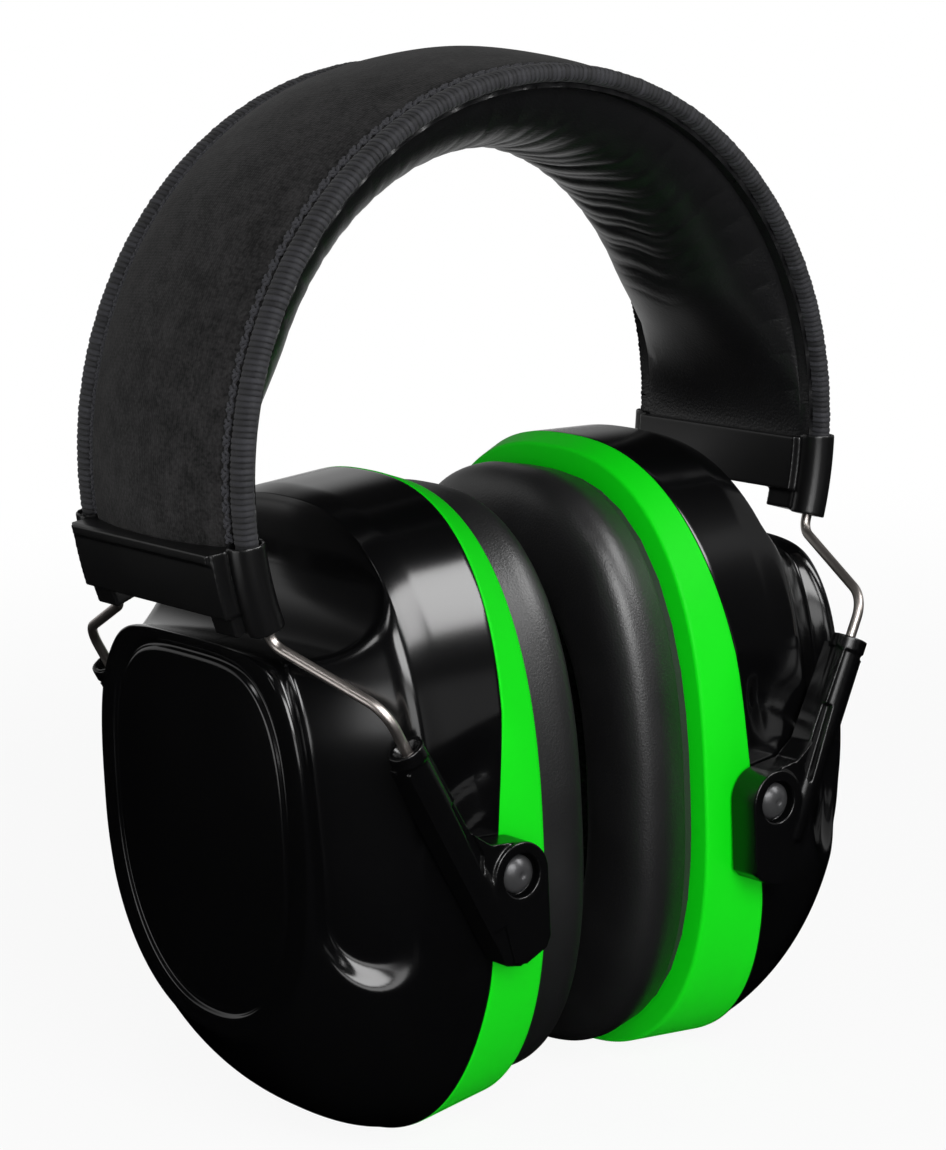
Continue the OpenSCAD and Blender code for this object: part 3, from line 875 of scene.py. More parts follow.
@dataclass
class Headband:
    """The sprung band: cover, bound edges, crown pad and wires."""

    arch: Arch
    finishes: Finishes
    band_end: float = -5.2
    tongue_end: float = -11.0
    cover_half: float = 20.35
    tongue_half: float = 18.6
    cover_low: float = 63.7
    cover_rise: float = 2.8
    cover_thick: float = 1.0
    tongue_turns: Span = (-6.0, -4.6)
    seam_draw: float = 0.75
    seam_width: float = 1.7
    binding_half: float = 2.3
    roll_power: float = 2.5
    binding_middle: float = 22.7
    rib_pitch: float = 0.95
    rib_depth: float = 0.22
    rib_power: float = 0.45
    chain_inset: float = 0.75
    chain_radius: float = 0.3
    chain_pitch: float = 2.6
    chain_sway: float = 0.34
    chain_sink: float = 0.28
    chain_rise: float = 0.26
    # Fixed share of the thread's painted light given to the chain stitches.
    chain_ridge: float = 0.9
    pad_depth: float = 10.5
    pad_half: float = 23.2
    crown_half: float = 20.4
    pad_edge: float = 61.05
    gather_pitch: float = 7.5
    pucker_depth: float = 0.8
    lip_wave: float = 0.45
    lip_inset: float = 0.6
    lip_thick: float = 0.85
    fold_pitch: float = 6.3
    crimp_pitch: float = 3.7
    fold_depth: float = 0.62
    crimp_depth: float = 0.26
    crease_rise: Span = (16.0, 42.0)
    crease_half: float = 13.0
    wire_offset: float = 22.5
    wire_radius: float = 0.9
    wire_leave: float = -19.2
    leg_mouth: Place = (49.6, 43.5, 25.2)
    leg_lean: float = 27.0
    leg_above: float = 7.4
    leg_below: float = 36.0
    corner_reach: float = 2.2
    corner_radii: Span = (3.2, 6.0)

    def build(self) -> None:
        """Models both halves of every piece and dresses them."""
        for side in Side:
            cover = self.bent(self.cover(side), side)
            tie(cover, self.finishes.cloth, "cover_cloth", "band_cover")
            pad = self.pad(side)
            self.bent(pad, side)
            tie(pad, self.finishes.lining, "leatherette", "band_lining", "band_foam")
            for edge in Edge:
                binding = self.bent(self.binding(side, edge), side)
                tie(binding, self.finishes.thread, "edge_thread", edge.node("binding"))
                tie(self.bent(self.chain(side, edge), side), self.finishes.thread, "edge_thread")
                wire = self.bent(self.wire(side, edge), side)
                tie(wire, self.finishes.wire, "wire", edge.node("wire"))

    def bent(self, piece: Piece, side: Side) -> Piece:
        """Bakes a piece's placement into its mesh; the crown and end of its half that it works out are
        not used.
        """
        crown = Vector(self.arch.at(self.arch.radius, 0.0, 90.0) * MM)
        end = Vector(self.arch.at(self.arch.radius, 0.0, self.arch.cap_top) * MM)
        end.x *= side.value
        side.node("end")
        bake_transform(piece)
        return piece

    def cover_radius(self, depth: np.ndarray) -> np.ndarray:
        """Gives the radius of the cover's face at a depth across the band."""
        curve = (self.cover_half**2 + self.cover_rise**2) / (2 * self.cover_rise)
        crest = self.cover_low + self.cover_thick + self.cover_rise
        return crest - curve + np.sqrt(curve**2 - depth**2)

    def cover(self, side: Side) -> Piece:
        """Models half of the cloth cover, with the edges drawn down at the seam."""
        turn = self.arch.turns(side, self.tongue_end, 200)[:, None]
        half = mix(self.tongue_half, self.cover_half, smooth(*self.tongue_turns, rise_of(turn)))
        share = across_shares(61)
        depth = share * half
        arc = self.arch.arc(turn)
        slack = 0.09 * np.sin(arc / 7.1 + depth / 5.3)
        slack = slack + 0.06 * np.sin(arc / 3.9 - depth / 8.7 + 1.3)
        seam = self.cover_half - self.seam_width
        drawn = self.seam_draw * smooth(seam, self.cover_half, np.abs(depth))
        face = self.cover_radius(depth) - drawn + slack * (1 - share**4)
        back = self.cover_radius(depth) - self.cover_thick
        outer = self.arch.at(face, depth, turn)
        inner = self.arch.at(back, depth, turn)[:, ::-1]
        net = np.concatenate([outer, inner, outer[:, :1]], axis=1)
        flat = np.stack(np.broadcast_arrays(depth, arc), axis=-1)
        map_net = np.concatenate([flat, flat[:, ::-1], flat[:, :1]], axis=1)
        return formed_net(side.node("band_cover"), net, map_net, 50.0)

    def binding(self, side: Side, edge: Edge) -> Piece:
        """Models half of one bound edge: an overlock roll of turns of thread."""
        turn = self.arch.turns(side, self.arch.cap_top - 1.5, 1150)[:, None]
        around = np.linspace(0, 2 * math.pi, 29)[None, :]
        across = signed_power(np.cos(around), 2 / self.roll_power)
        up = signed_power(np.sin(around), 2 / self.roll_power)
        phase = self.arch.arc(turn) / self.rib_pitch + 0.12 * across + edge.value * 0.3
        thread = np.floor(phase)
        wobble = scatter(thread, edge.value + 3.0)
        ridge = np.abs(np.sin(math.pi * phase)) ** self.rib_power * (0.8 + 0.2 * wobble)
        swell = self.rib_depth * (ridge - 0.75) + 0.1 * (scatter(thread, 7.0) - 0.5)
        radius = self.arch.radius + up * (self.arch.binding_thick / 2 + swell)
        depth = edge.value * (self.binding_middle + across * (self.binding_half + swell))
        net = self.arch.at(radius, depth, turn)
        piece = formed_net(side.node(edge.node("binding")), net, None, 70.0)
        # Painted shade: the valleys between the roll's turns are coloured darker and their crests
        # lighter.
        return keep_ridge_shade(piece, self.roll_ridge_shade(piece))

    def roll_ridge_shade(self, piece: Piece) -> np.ndarray:
        """Gives how far each point of a bound edge stands out of its roll, from 0 to 1, for the painted
        shade in its valleys and the painted light on its crests.
        """
        points = points_of(piece) / MM
        radius = np.hypot(points[:, 0], points[:, 2] - self.arch.height) - self.arch.radius
        across = np.abs(points[:, 1]) - self.binding_middle
        reach = (np.abs(radius) / (self.arch.binding_thick / 2)) ** self.roll_power
        reach = reach + (np.abs(across) / self.binding_half) ** self.roll_power
        return np.clip((reach ** (1 / self.roll_power) - 0.88) / 0.17, 0, 1)

    def chain(self, side: Side, edge: Edge) -> Piece:
        """Models the chain of stitches between the cover and a bound edge."""
        turn = self.arch.turns(side, self.band_end, 460)
        middle = self.cover_half - self.chain_inset
        arc = self.arch.arc(turn) * 2 * math.pi / self.chain_pitch
        strands = []
        for strand in (0.0, math.pi):
            depth = edge.value * (middle + self.chain_sway * np.cos(arc + strand))
            rise = self.chain_rise * np.sin(2 * arc + strand)
            radius = self.cover_radius(depth) - self.chain_sink + rise
            path = self.arch.at(radius, depth, turn)
            strands.append(formed_net("strand", swept_net(path, self.chain_radius, 8)))
        piece = joined(side.node(edge.node("chain")), strands)
        # Painted light: the whole chain takes one fixed share of the thread's painted shading, near its
        # lit end.
        return keep_ridge_shade(piece, np.full(len(piece.data.vertices), self.chain_ridge))

    def pad(self, side: Side) -> Piece:
        """Models half of the crown pad: a puffed lining with creases and gathered edges."""
        turn = self.arch.turns(side, self.band_end - 1.5, 300)[:, None]
        share = across_shares(97)
        arc = self.arch.arc(turn)
        rise = rise_of(turn)
        swell = mix(0.4, self.pad_depth, smooth(self.band_end, 26.0, rise))
        crown = (1 - np.abs(share) ** 2.6) ** 0.62
        depth = share * self.crown_half
        creased = smooth(*self.crease_rise, rise) * np.exp(-((depth / self.crease_half) ** 2))
        wander = 0.9 * np.sin(depth / 5.0 + arc / 17.0) + 0.5 * np.sin(depth / 2.9 + arc / 9.0)
        fold = np.abs(np.sin(math.pi * arc / self.fold_pitch + wander)) ** 0.7
        crimp = np.abs(np.sin(math.pi * arc / self.crimp_pitch + 1.7 * wander + 0.6)) ** 0.8
        crease = creased * (self.fold_depth * (fold - 0.75) + self.crimp_depth * (crimp - 0.7))
        gather = np.abs(np.sin(math.pi * arc / self.gather_pitch + share)) ** 0.5
        pucker = smooth(0.78, 0.97, np.abs(share)) * (1 - gather) * smooth(self.band_end, 8, rise)
        face = self.pad_edge - swell * crown - crease * swell / self.pad_depth
        under = self.arch.at(face + self.pucker_depth * pucker * (1 - share**8), depth, turn)
        lip = self.pad_half - self.lip_inset + self.lip_wave * (gather - 0.6)
        lip_top = self.pad_edge + self.lip_thick
        ends = [self.arch.at(self.pad_edge, sign * lip, turn) for sign in (-1, 1)]
        tops = [self.arch.at(lip_top, sign * lip, turn) for sign in (-1, 1)]
        net = np.concatenate([ends[0], under, ends[1], tops[1], tops[0], ends[0]], axis=1)
        return formed_net(side.node("crown_pad"), net, None, 60.0)

    def wire(self, side: Side, edge: Edge) -> Piece:
        """Models half of one spring wire, from the crown to the foot of its leg."""
        sign = np.array([side.value, -edge.value, 1])
        lean = math.radians(self.leg_lean)
        way = np.array([-math.sin(lean), 0, -math.cos(lean)])
        mouth = np.array(self.leg_mouth) * np.array([1, -1, 1])
        leave = math.radians(self.wire_leave)
        start = self.arch.at(self.arch.radius, -self.wire_offset, self.wire_leave)
        corner = start + self.corner_reach * np.array([math.sin(leave), 0, -math.cos(leave)])
        line = np.array([start, corner, mouth - way * self.leg_above, mouth + way * self.leg_below])
        leg = rounded_path(line, self.corner_radii)
        turn = np.linspace(90, self.wire_leave, 140)[:-1]
        over = self.arch.at(self.arch.radius, -self.wire_offset, turn)
        path = np.concatenate([over, leg]) * sign
        return formed_net(side.node(edge.node("wire")), swept_net(path, self.wire_radius, 20))


# End caps and arms


@dataclass
class EndCap:
    """The sleeve over each end of the band, with a tube round each wire."""

    arch: Arch
    finishes: Finishes
    middle: float = -15.2
    bottom: float = -18.7
    inner: float = 59.05
    outer: float = 69.1
    wall_half: float = 21.0
    leg_inner: float = 14.5
    tube_offset: float = 22.5
    tube_radius: float = 3.1
    tube_rise: float = 0.5
    socket_radius: float = 2.6
    socket_depth: float = 1.8
    pocket_end: float = -11.4
    pocket_half: float = 18.85
    pocket_inner: float = 60.55
    pocket_outer: float = 67.6
    voxel: float = 0.24

    def slab(self, turns: Span, depths: Span, radii: Span) -> Piece:
        """Adds a slab that follows the arch.

        Args:
            turns: Turns of its two ends.
            depths: Y of its two sides.
            radii: Radii of its two faces.

        Returns:
            The slab.
        """
        piece = block((turns[0], depths[0], radii[0]), (turns[1], depths[1], radii[1]))

        def follow(unit: np.ndarray) -> np.ndarray:
            """Reads a point as a turn, a depth and a radius."""
            turn, depth, radius = unit.T / MM
            return self.arch.at(radius, depth, turn)

        return place_points(piece, follow)

    def tube(self, turns: Span, depth: float, radius: float) -> Piece:
        """Adds a round tube that follows the arch at a depth."""
        path = self.arch.at(self.arch.radius, depth, np.linspace(turns[0], turns[1], 12))
        return formed_net("tube", swept_net(path, radius, 48))

    def model(self) -> Piece:
        """Models the right-hand cap."""
        top = self.arch.cap_top
        wall = (-self.wall_half, self.wall_half)
        solids = [self.slab((self.middle, top), wall, (self.inner, self.outer))]
        lip = (-self.wall_half + 1.0, self.wall_half - 1.0)
        solids.append(self.slab((top - 1.5, top - 0.1), lip, (self.outer - 0.6, self.outer + 0.7)))
        pocket = (-self.pocket_half, self.pocket_half)
        pocket_faces = (self.pocket_inner, self.pocket_outer)
        cuts = [self.slab((self.pocket_end, top + 2.0), pocket, pocket_faces)]
        for sign in (-1, 1):
            leg = sorted((sign * self.leg_inner, sign * (self.wall_half - 0.4)))
            faces = (self.inner + 1.4, self.outer - 1.0)
            solids.append(self.slab((self.bottom + 0.4, self.middle + 1.0), tuple(leg), faces))
            depth = sign * self.tube_offset
            solids.append(self.tube((self.bottom, top + self.tube_rise), depth, self.tube_radius))
            cuts.append(self.tube((top - self.socket_depth, top + 3.0), depth, self.socket_radius))
        return moulded("right_end_cap_moulded", solids, cuts, self.voxel, 5)

    def build(self) -> None:
        """Models both caps and ties them to the band's ends."""
        for side, cap in both_sides(self.model()):
            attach(cap, side.node("end"))
            tie(cap, self.finishes.cap, "cap_plastic", side.node("end_cap"))


@dataclass
class PivotArms:
    """The four arms that slide on the wire legs and carry the cups on pins."""

    finishes: Finishes
    mouth: Place = (49.6, -43.5, 25.2)
    lean: float = 27.0
    tube_radius: float = 2.8
    tube_length: float = 37.0
    collar_height: float = 2.4
    collar_step: float = 0.35
    bore: float = 1.35
    window: float = 2.8
    window_pitch: float = 5.0
    windows: int = 5
    first_window: float = 5.6
    pin_distance: float = 28.9
    lug_radius: float = 5.6
    lug_inner: float = -39.9
    lug_outer: float = -45.4
    shield_outer: float = -46.1
    head_radius: float = 3.2
    head_gap: float = 0.55
    head_seat: float = -44.2
    groove_floor: float = -44.7
    voxel: float = 0.2

    def round_lug(self, radius: float) -> np.ndarray:
        """Gives the upper rim of the lug, from its outer side over the top to its inner side."""
        turns = np.radians(np.linspace(-25, 180, 24))
        across = self.pin_distance + radius * np.cos(turns)
        return np.stack([across, radius * np.sin(turns)], axis=-1)

    def web_outline(self) -> np.ndarray:
        """Outlines the web between the tube and the lug, in X and Z."""
        tube_side = np.array([[32.2, -15.0], [50.4, 21.0], [46.6, 24.8], [38.0, 8.8], [34.4, 6.2]])
        foot = np.array([[23.3, -12.2], [24.6, -13.6], [29.4, -15.6]])
        return np.concatenate([tube_side, [[28.9, 5.6], [23.3, 0.0]], foot])

    def shield_outline(self) -> np.ndarray:
        """Outlines the raised lug and its tapering foot, in X and Z."""
        foot = np.array([[23.3, -11.6], [24.3, -13.4], [28.6, -15.2], [31.0, -14.6]])
        return np.concatenate([self.round_lug(self.lug_radius), foot])

    def groove_outline(self) -> np.ndarray:
        """Outlines the tapered groove down the front of the web, in X and Z."""
        return np.array([[42.6, 14.6], [41.4, 15.2], [36.0, 5.0], [36.6, 1.4]])

    def model(self) -> Piece:
        """Models the right front arm."""
        mouth = np.array(self.mouth)
        lean = math.radians(self.lean)
        way = np.array([-math.sin(lean), 0.0, -math.cos(lean)])
        out = np.array([math.cos(lean), 0.0, -math.sin(lean)])
        solids = [
            rod(mouth, mouth + way * self.tube_length, self.tube_radius),
            rod(mouth, mouth + way * self.collar_height, self.tube_radius + self.collar_step),
            plate(self.web_outline(), self.lug_inner, self.lug_outer),
            plate(self.shield_outline(), self.lug_inner, self.shield_outer),
        ]
        pin = np.array([self.pin_distance, 0.0, 0.0])
        front = np.array([0.0, -1.0, 0.0])
        cuts = [
            rod(mouth - way, mouth + way * (self.tube_length - 1), self.bore),
            rod(mouth - way * 0.6, mouth + way * 2.0, 2.55, 1.2),
            rod(pin - front * self.head_seat, pin + front * 60.0, self.head_radius + self.head_gap),
            plate(self.groove_outline(), self.groove_floor, -48.0),
        ]
        for step in range(self.windows):
            middle = mouth + way * (self.first_window + self.window_pitch * step) + out * 3.0
            cuts.append(self.window_block(middle, way, out))
        return moulded("right_front_arm_moulded", solids, cuts, self.voxel, 5)

    def window_block(self, middle: np.ndarray, way: np.ndarray, out: np.ndarray) -> Piece:
        """Adds the block that cuts one window into the outer side of the tube."""
        half = self.window / 2
        piece = block((-2.0, -half, -half), (2.0, half, half))
        axes = np.stack([out, np.array([0.0, 1.0, 0.0]), way])
        return place_points(piece, lambda unit: unit / MM @ axes + middle)

    def head(self) -> Piece:
        """Models the right front pin: a shank and a domed head with a rim."""
        dimple = [(0.0, 45.95), (0.3, 45.96), (0.5, 46.1), (0.7, 46.24)]
        dome = [(1.0, 46.26), (1.5, 46.14), (2.0, 45.88), (2.5, 45.56), (2.85, 45.22), (3.1, 44.9)]
        rim = [(self.head_radius, 44.6), (self.head_radius, 44.25)]
        shank = [(2.4, 44.25), (2.4, 32.0), (0.0, 32.0)]
        radius, depth = np.array(dimple + dome + rim + shank).T[:, :, None]
        turns = np.linspace(0, 2 * math.pi, 49)
        across = self.pin_distance + radius * np.cos(turns)
        net = np.stack(np.broadcast_arrays(across, -depth, radius * np.sin(turns)), axis=-1)
        return formed_net("right_front_pin_head", net, None, 35.0)

    def build(self) -> None:
        """Models the arms and pins and ties them to their bodies."""
        for model, word, part, finish, slot, body in (
            (self.model(), "arm_moulded", "arm", self.finishes.arm, "arm_plastic", "arms"),
            (self.head(), "pin_head", "pin", self.finishes.pin, "pin_plastic", "cup"),
        ):
            rear = mirrored(model, f"right_rear_{word}", 1)
            for edge, right in ((Edge.FRONT, model), (Edge.REAR, rear)):
                for side, piece in both_sides(right):
                    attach(piece, side.node(body))
                    tie(piece, finish, slot, side.node(edge.node(part)))


# Cups


def rounded_outline(
    half: Value, top: Value, bottom: Value, middle: Value, fullness: Span, turn: np.ndarray
) -> tuple[np.ndarray, np.ndarray]:
    """Draws a rounded outline that is fuller or leaner above and below its widest height.

    Args:
        half: Half its width.
        top: Its highest point.
        bottom: Its lowest point.
        middle: Height at which it is widest.
        fullness: Powers of its upper and lower halves.
        turn: Turns round it, in radians.

    Returns:
        Y and Z of its points.
    """
    upper = np.sin(turn) >= 0
    power = 2 / np.where(upper, fullness[0], fullness[1])
    reach = np.where(upper, top - middle, middle - bottom)
    up = middle + reach * signed_power(np.sin(turn), power)
    return half * signed_power(np.cos(turn), power), up


def outline_turns(count: int) -> np.ndarray:
    """Gives turns round an outline, closer where it is flattest, with the first repeated."""
    turn = np.linspace(0, 2 * math.pi, count + 1)
    return turn - math.radians(6) * np.sin(4 * turn)


@dataclass
class Cup:
    """One ear cup: shell, ring, cushion and foam. It is modelled on the right and mirrored."""

    finishes: Finishes
    half: float = 41.0
    top: float = 61.0
    bottom: float = -52.8
    face: float = 60.4
    wall: float = 2.6
    face_fullness: Span = (3.2, 2.2)
    rim_fullness: Span = (2.5, 2.5)
    ridge_lift: float = 0.045
    ridge_depths: Span = (0.85, 0.955)
    shoulder: float = 36.0
    pocket_depth: float = 5.6
    pocket_start: float = 0.25
    pocket_end: float = 0.93
    pocket_middle: Span = (0.58, -4.0)
    pocket_reach: Span = (0.31, 11.0)
    pocket_rise: float = 0.34
    pocket_heights: Span = (-14.0, 20.0)
    pocket_round: float = 1.6
    lip_spread: Span = (0.25, 0.3)
    draft: float = 0.7
    notch_radius: float = 13.0
    notch_distance: float = 54.0
    notch_height: float = 50.0
    notch_draft: float = 12.0
    notch_round: float = 4.0
    panel_half: float = 26.0
    panel_top: float = 38.0
    panel_bottom: float = -27.5
    panel_middle: float = 6.0
    rim_middle: float = 2.0
    part_slope: float = 0.104
    part_distance: float = 28.9
    ring_face: float = 18.2
    flange: float = 17.0
    flange_thick: float = 2.2
    flange_stretch: Span = (0.4, 0.2)
    pin_distance: float = 28.9
    seat_level: float = 39.6
    seat_radius: float = 26.0
    seat_steps: Span = (9.6, 15.5)
    seat_round: float = 0.8
    seat_drops: tuple[float, ...] = (0.25, 0.5, 0.75)
    seat_fade: Span = (0.2, 5.0)
    seal: float = 5.0
    seal_half: float = 36.8
    seal_power: float = 2.8
    seal_drops: Span = (4.0, 25.0)
    seal_lifts: Span = (4.0, 24.0)
    ear_half: float = 19.5
    foam_thick: float = 8.0
    foam_gap: float = 2.2
    columns: int = 440
    hub: float = 0.004
    width_powers: Span = (2.8, 1.55)
    height_powers: Span = (1.6, 1.2)

    def half_at(self, depth: float) -> float:
        """Gives half the width of the dome at a depth."""
        inner, outer = self.width_powers
        return mix(self.panel_half, self.half, (1 - depth**inner) ** (1 / outer))

    def pocket_cut(self, depth: float) -> float:
        """Gives how far the hollow beside the arm goes in at a depth, without its lip."""
        share = (depth - self.pocket_start) / (self.pocket_end - self.pocket_start)
        deepest = self.half_at(self.pocket_end) - self.pocket_depth
        level = mix(self.half_at(self.pocket_start), deepest, share)
        return -soft_least(level - self.half_at(depth), 0.0, self.pocket_round)

    def notch_floor(self, distance: float, wall: float) -> float:
        """Gives the height of the notch under the end cap at a distance from the head."""
        reach = self.notch_radius + wall
        upright = self.notch_distance - reach
        if distance <= upright:
            return self.notch_height + (upright - distance) * self.notch_draft
        off = distance - self.notch_distance
        return self.notch_height - math.sqrt(max(0.0, reach**2 - off**2))

    def dome(self, depth: float, wall: float = 0.0) -> np.ndarray:
        """Gives one ring of the shell.

        Args:
            depth: 0 at the shoulder, 1 at the edge of the flat face.
            wall: How far the ring lies inside the shell's outer face.

        Returns:
            The places round the ring.
        """
        turn = outline_turns(self.columns)
        inner, outer = self.height_powers
        share = (1 - depth**inner) ** (1 / outer)
        lift = self.ridge_lift * float(smooth(*self.ridge_depths, depth))
        edge = min(depth + lift, 1 - 0.05 * (1 - depth))
        distance = mix(self.shoulder, self.face - wall, edge)
        rim_height = self.shoulder - self.part_distance
        carried = self.draft * (3 + (self.face - self.shoulder) / rim_height)
        inset = wall + (self.draft + carried * depth) * (1 - depth) ** 3
        across, up = rounded_outline(
            self.half_at(depth) - inset,
            mix(self.panel_top, self.top, share) - inset,
            mix(self.panel_bottom, self.bottom, share) + inset,
            mix(self.panel_middle, self.rim_middle, share),
            tuple(mix(*pair, share) for pair in zip(self.face_fullness, self.rim_fullness)),
            turn,
        )
        fall = np.minimum(up - self.pocket_middle[1], 0.0) / self.pocket_reach[1]
        reach = np.hypot((depth - self.pocket_middle[0]) / self.pocket_reach[0], fall)
        foot = (fall / np.maximum(reach, 0.01)) ** 2
        spread = mix(*self.lip_spread, foot)
        kept = 1 - self.pocket_rise * (1 - smooth(*self.pocket_heights, up))
        cut = self.pocket_cut(depth) * kept * (1 - smooth(1 - spread, 1 + spread, reach))
        across = across - np.sign(across) * cut * np.abs(np.cos(turn)) ** 0.3
        up = soft_least(up, self.notch_floor(distance, wall), self.notch_round)
        return np.stack([np.full_like(up, distance), across, up], axis=-1)

    def panel(self, shrink: float, rise: float, wall: float = 0.0) -> np.ndarray:
        """Gives one ring inside the flat face, shrunk towards its middle and raised."""
        middle = np.array([self.face - wall, 0.0, self.panel_middle])
        shrunk = (self.dome(1.0, wall) - middle) * np.array([1.0, shrink, shrink])
        return middle + shrunk + np.array([rise, 0, 0])

    def rim(self, inset: float, step: float) -> np.ndarray:
        """Gives one ring on the slanted plane where the shell and the ring part."""
        across, up = self.rim_outline(self.half - inset, self.top - inset, self.bottom + inset)
        return np.stack([self.part_distance - self.part_slope * up + step, across, up], axis=-1)

    def rim_outline(self, half: float, top: float, bottom: float) -> tuple[np.ndarray, np.ndarray]:
        """Gives Y and Z of an outline as full as the rim's."""
        turn = outline_turns(self.columns)
        return rounded_outline(half, top, bottom, self.rim_middle, self.rim_fullness, turn)

    def seated(self, net: np.ndarray, stepped: bool = False) -> np.ndarray:
        """Flattens both sides of a net to pivot seats.

        Args:
            net: Places on the cup.
            stepped: Whether a boss and a coned track stand round each pin.

        Returns:
            The places, with the seats.
        """
        reach = np.hypot(net[..., 0] - self.pin_distance, net[..., 2])
        rise = smooth(self.seat_radius - 1.0, self.seat_radius + 2.0, reach)
        level = self.seat_level + 3.0 * rise
        if stepped:
            boss, track = self.seat_steps
            boss_drop, track_drop, cone_drop = self.seat_drops
            cone = np.clip((reach - boss) / (track - boss), 0.0, 1.0)
            steps = boss_drop * smooth(boss - 0.7, boss + 0.7, reach)
            steps = steps + track_drop * smooth(track - 1.1, track + 1.1, reach)
            past = net[..., 0] - self.part_distance + self.part_slope * net[..., 2]
            within = 1 - smooth(track + 1.5, self.seat_radius - 1.0, reach)
            shown = smooth(*self.seat_fade, past) * within
            level = level - (steps + cone_drop * cone) * shown
        across = np.sign(net[..., 1]) * soft_least(np.abs(net[..., 1]), level, self.seat_round)
        return np.stack([net[..., 0], across, net[..., 2]], axis=-1)

    def shell(self) -> Piece:
        """Models the moulded shell, outside and inside."""
        shrinks = spaced((self.hub, 0.92, 16))
        rings = [self.panel(shrink, 0.8 - 0.7 * shrink**2) for shrink in shrinks]
        groove = (
            (0.93, 0.19), (0.937, 0.1), (0.943, -0.08), (0.949, -0.34),
            (0.954, -0.48), (0.959, -0.52), (0.971, -0.52), (0.976, -0.46),
            (0.981, -0.3), (0.986, -0.12), (0.991, -0.03), (0.995, 0.0),
        )
        rings += [self.panel(shrink, rise) for shrink, rise in groove]
        border = (1.0, 0.985, 5), (0.985, 0.88, 26)
        dome = (0.88, 0.5, 32), (0.5, 0.24, 18), (0.24, 0.14, 26), (0.14, 0.0, 6)
        rings += [self.dome(depth) for depth in spaced(*border, *dome)]
        first, last = self.dome(0.0), self.rim(0.0, 0.05)
        rings += [mix(first, last, share) for share in spaced((0.04, 0.97, 24))]
        rings += [self.rim(0.06, 0.08), self.rim(0.25, 0.05), self.rim(self.wall, 0.05)]
        outside = self.seated(np.array(rings), True)
        depths = (0.0, 0.06, 0.12, 0.24, 0.48, 0.72, 0.9, 1.0)
        inside = [self.dome(depth, self.wall) for depth in depths]
        inside += [self.panel(0.6, 0.4, self.wall), self.panel(self.hub, 0.7, self.wall)]
        net = np.concatenate([outside, np.array(inside)])
        return formed_net("right_shell_moulded", net, None, 35.0)

    def flat(self, inset: float, distance: float) -> np.ndarray:
        """Gives one ring of the green base at a distance from the head."""
        above, below = self.flange_stretch
        top, bottom = self.top - inset + above, self.bottom + inset - below
        across, up = self.rim_outline(self.half - inset, top, bottom)
        return np.stack([np.full_like(up, distance), across, up], axis=-1)

    def ring(self) -> Piece:
        """Models the coloured base ring with its flange."""
        outer, foot = self.rim(0.0, -0.35), self.flat(1.7, self.ring_face + 0.6)
        rings = [self.rim(2.75, 0.0), self.rim(0.3, 0.0), self.rim(0.08, -0.1)]
        rings += [mix(outer, foot, share) for share in spaced((0.0, 1.0, 22))]
        edge = ((1.85, 0.25), (2.1, 0.06), (2.5, 0.0))
        flange = ((self.flange, 0.0), (self.flange, self.flange_thick), (5.0, self.flange_thick))
        rings += [self.flat(inset, self.ring_face + step) for inset, step in edge + flange]
        rings += [self.rim(4.35, self.flange_thick), self.rim(2.75, self.flange_thick)]
        net = self.seated(np.array([*rings, rings[0]]))
        return formed_net("right_ring_moulded", net, None, 35.0)

    def cushion_ring(self, share: Value, distance: Value, turn: np.ndarray) -> np.ndarray:
        """Gives places on the cushion between its outer edge (0) and the ear opening (1)."""
        across, up = rounded_outline(
            mix(self.seal_half, self.ear_half, share),
            mix(*(self.top - drop for drop in self.seal_drops), share),
            mix(*(self.bottom + lift for lift in self.seal_lifts), share),
            self.rim_middle,
            self.rim_fullness,
            turn,
        )
        return np.stack(np.broadcast_arrays(distance, across, up), axis=-1)

    def cushion(self) -> Piece:
        """Models the sealing cushion: a crowned ring of leatherette, drawn in at its foot."""
        turn = outline_turns(280)[None, :]
        over = np.linspace(0, math.pi, 57)[:, None]
        waist, foot = self.seal + 6.2, self.ring_face - 2.1
        share = 0.5 - 0.5 * signed_power(np.cos(over), 2 / self.seal_power)
        distance = waist - (waist - self.seal) * np.sin(over) ** (2 / self.seal_power)
        lobes = 0.35 * np.sin(9 * turn + 0.4) + 0.25 * np.sin(14 * turn + 1.9)
        lobes = lobes + 0.2 * np.sin(23 * turn)
        pinch = smooth(0.3, 0.95, np.sin(turn) ** 2 * np.cos(turn) ** 2 * 4)
        ripple = 0.12 * lobes + 0.1 * pinch * np.sin(46 * turn) * np.cos(over) ** 4
        wavy = share - 0.004 * lobes * np.cos(over)
        crown = self.cushion_ring(wavy, distance + ripple * np.sin(over), turn)
        outside, inside = (
            np.array([self.cushion_ring(mix(*edge, step), mix(*ends, step), turn[0]) for step in steps])
            for edge, ends, steps in (
                ((0.05, 0.0), (foot, waist), (0.0, 0.3, 0.65)),
                ((1.0, 0.96), (waist, foot), (0.4, 0.8, 1.0)),
            )
        )
        net = np.concatenate([outside, crown, inside, outside[:1]])
        return formed_net("right_cushion", net, None, 60.0)

    def foam(self) -> Piece:
        """Models the sound-deadening foam that lines the shell."""
        back = self.wall + self.foam_gap
        front = back + self.foam_thick
        rings = [self.panel(self.hub, 0.0, back)]
        rings += [self.dome(depth, back) for depth in (0.97, 0.8, 0.5, 0.2)]
        rings += [self.dome(0.36, back + self.foam_thick / 2), self.dome(0.6, front)]
        rings += [self.dome(0.95, front), self.panel(self.hub, 0.0, front)]
        return formed_net("right_cup_lining", np.array(rings), None, 60.0)

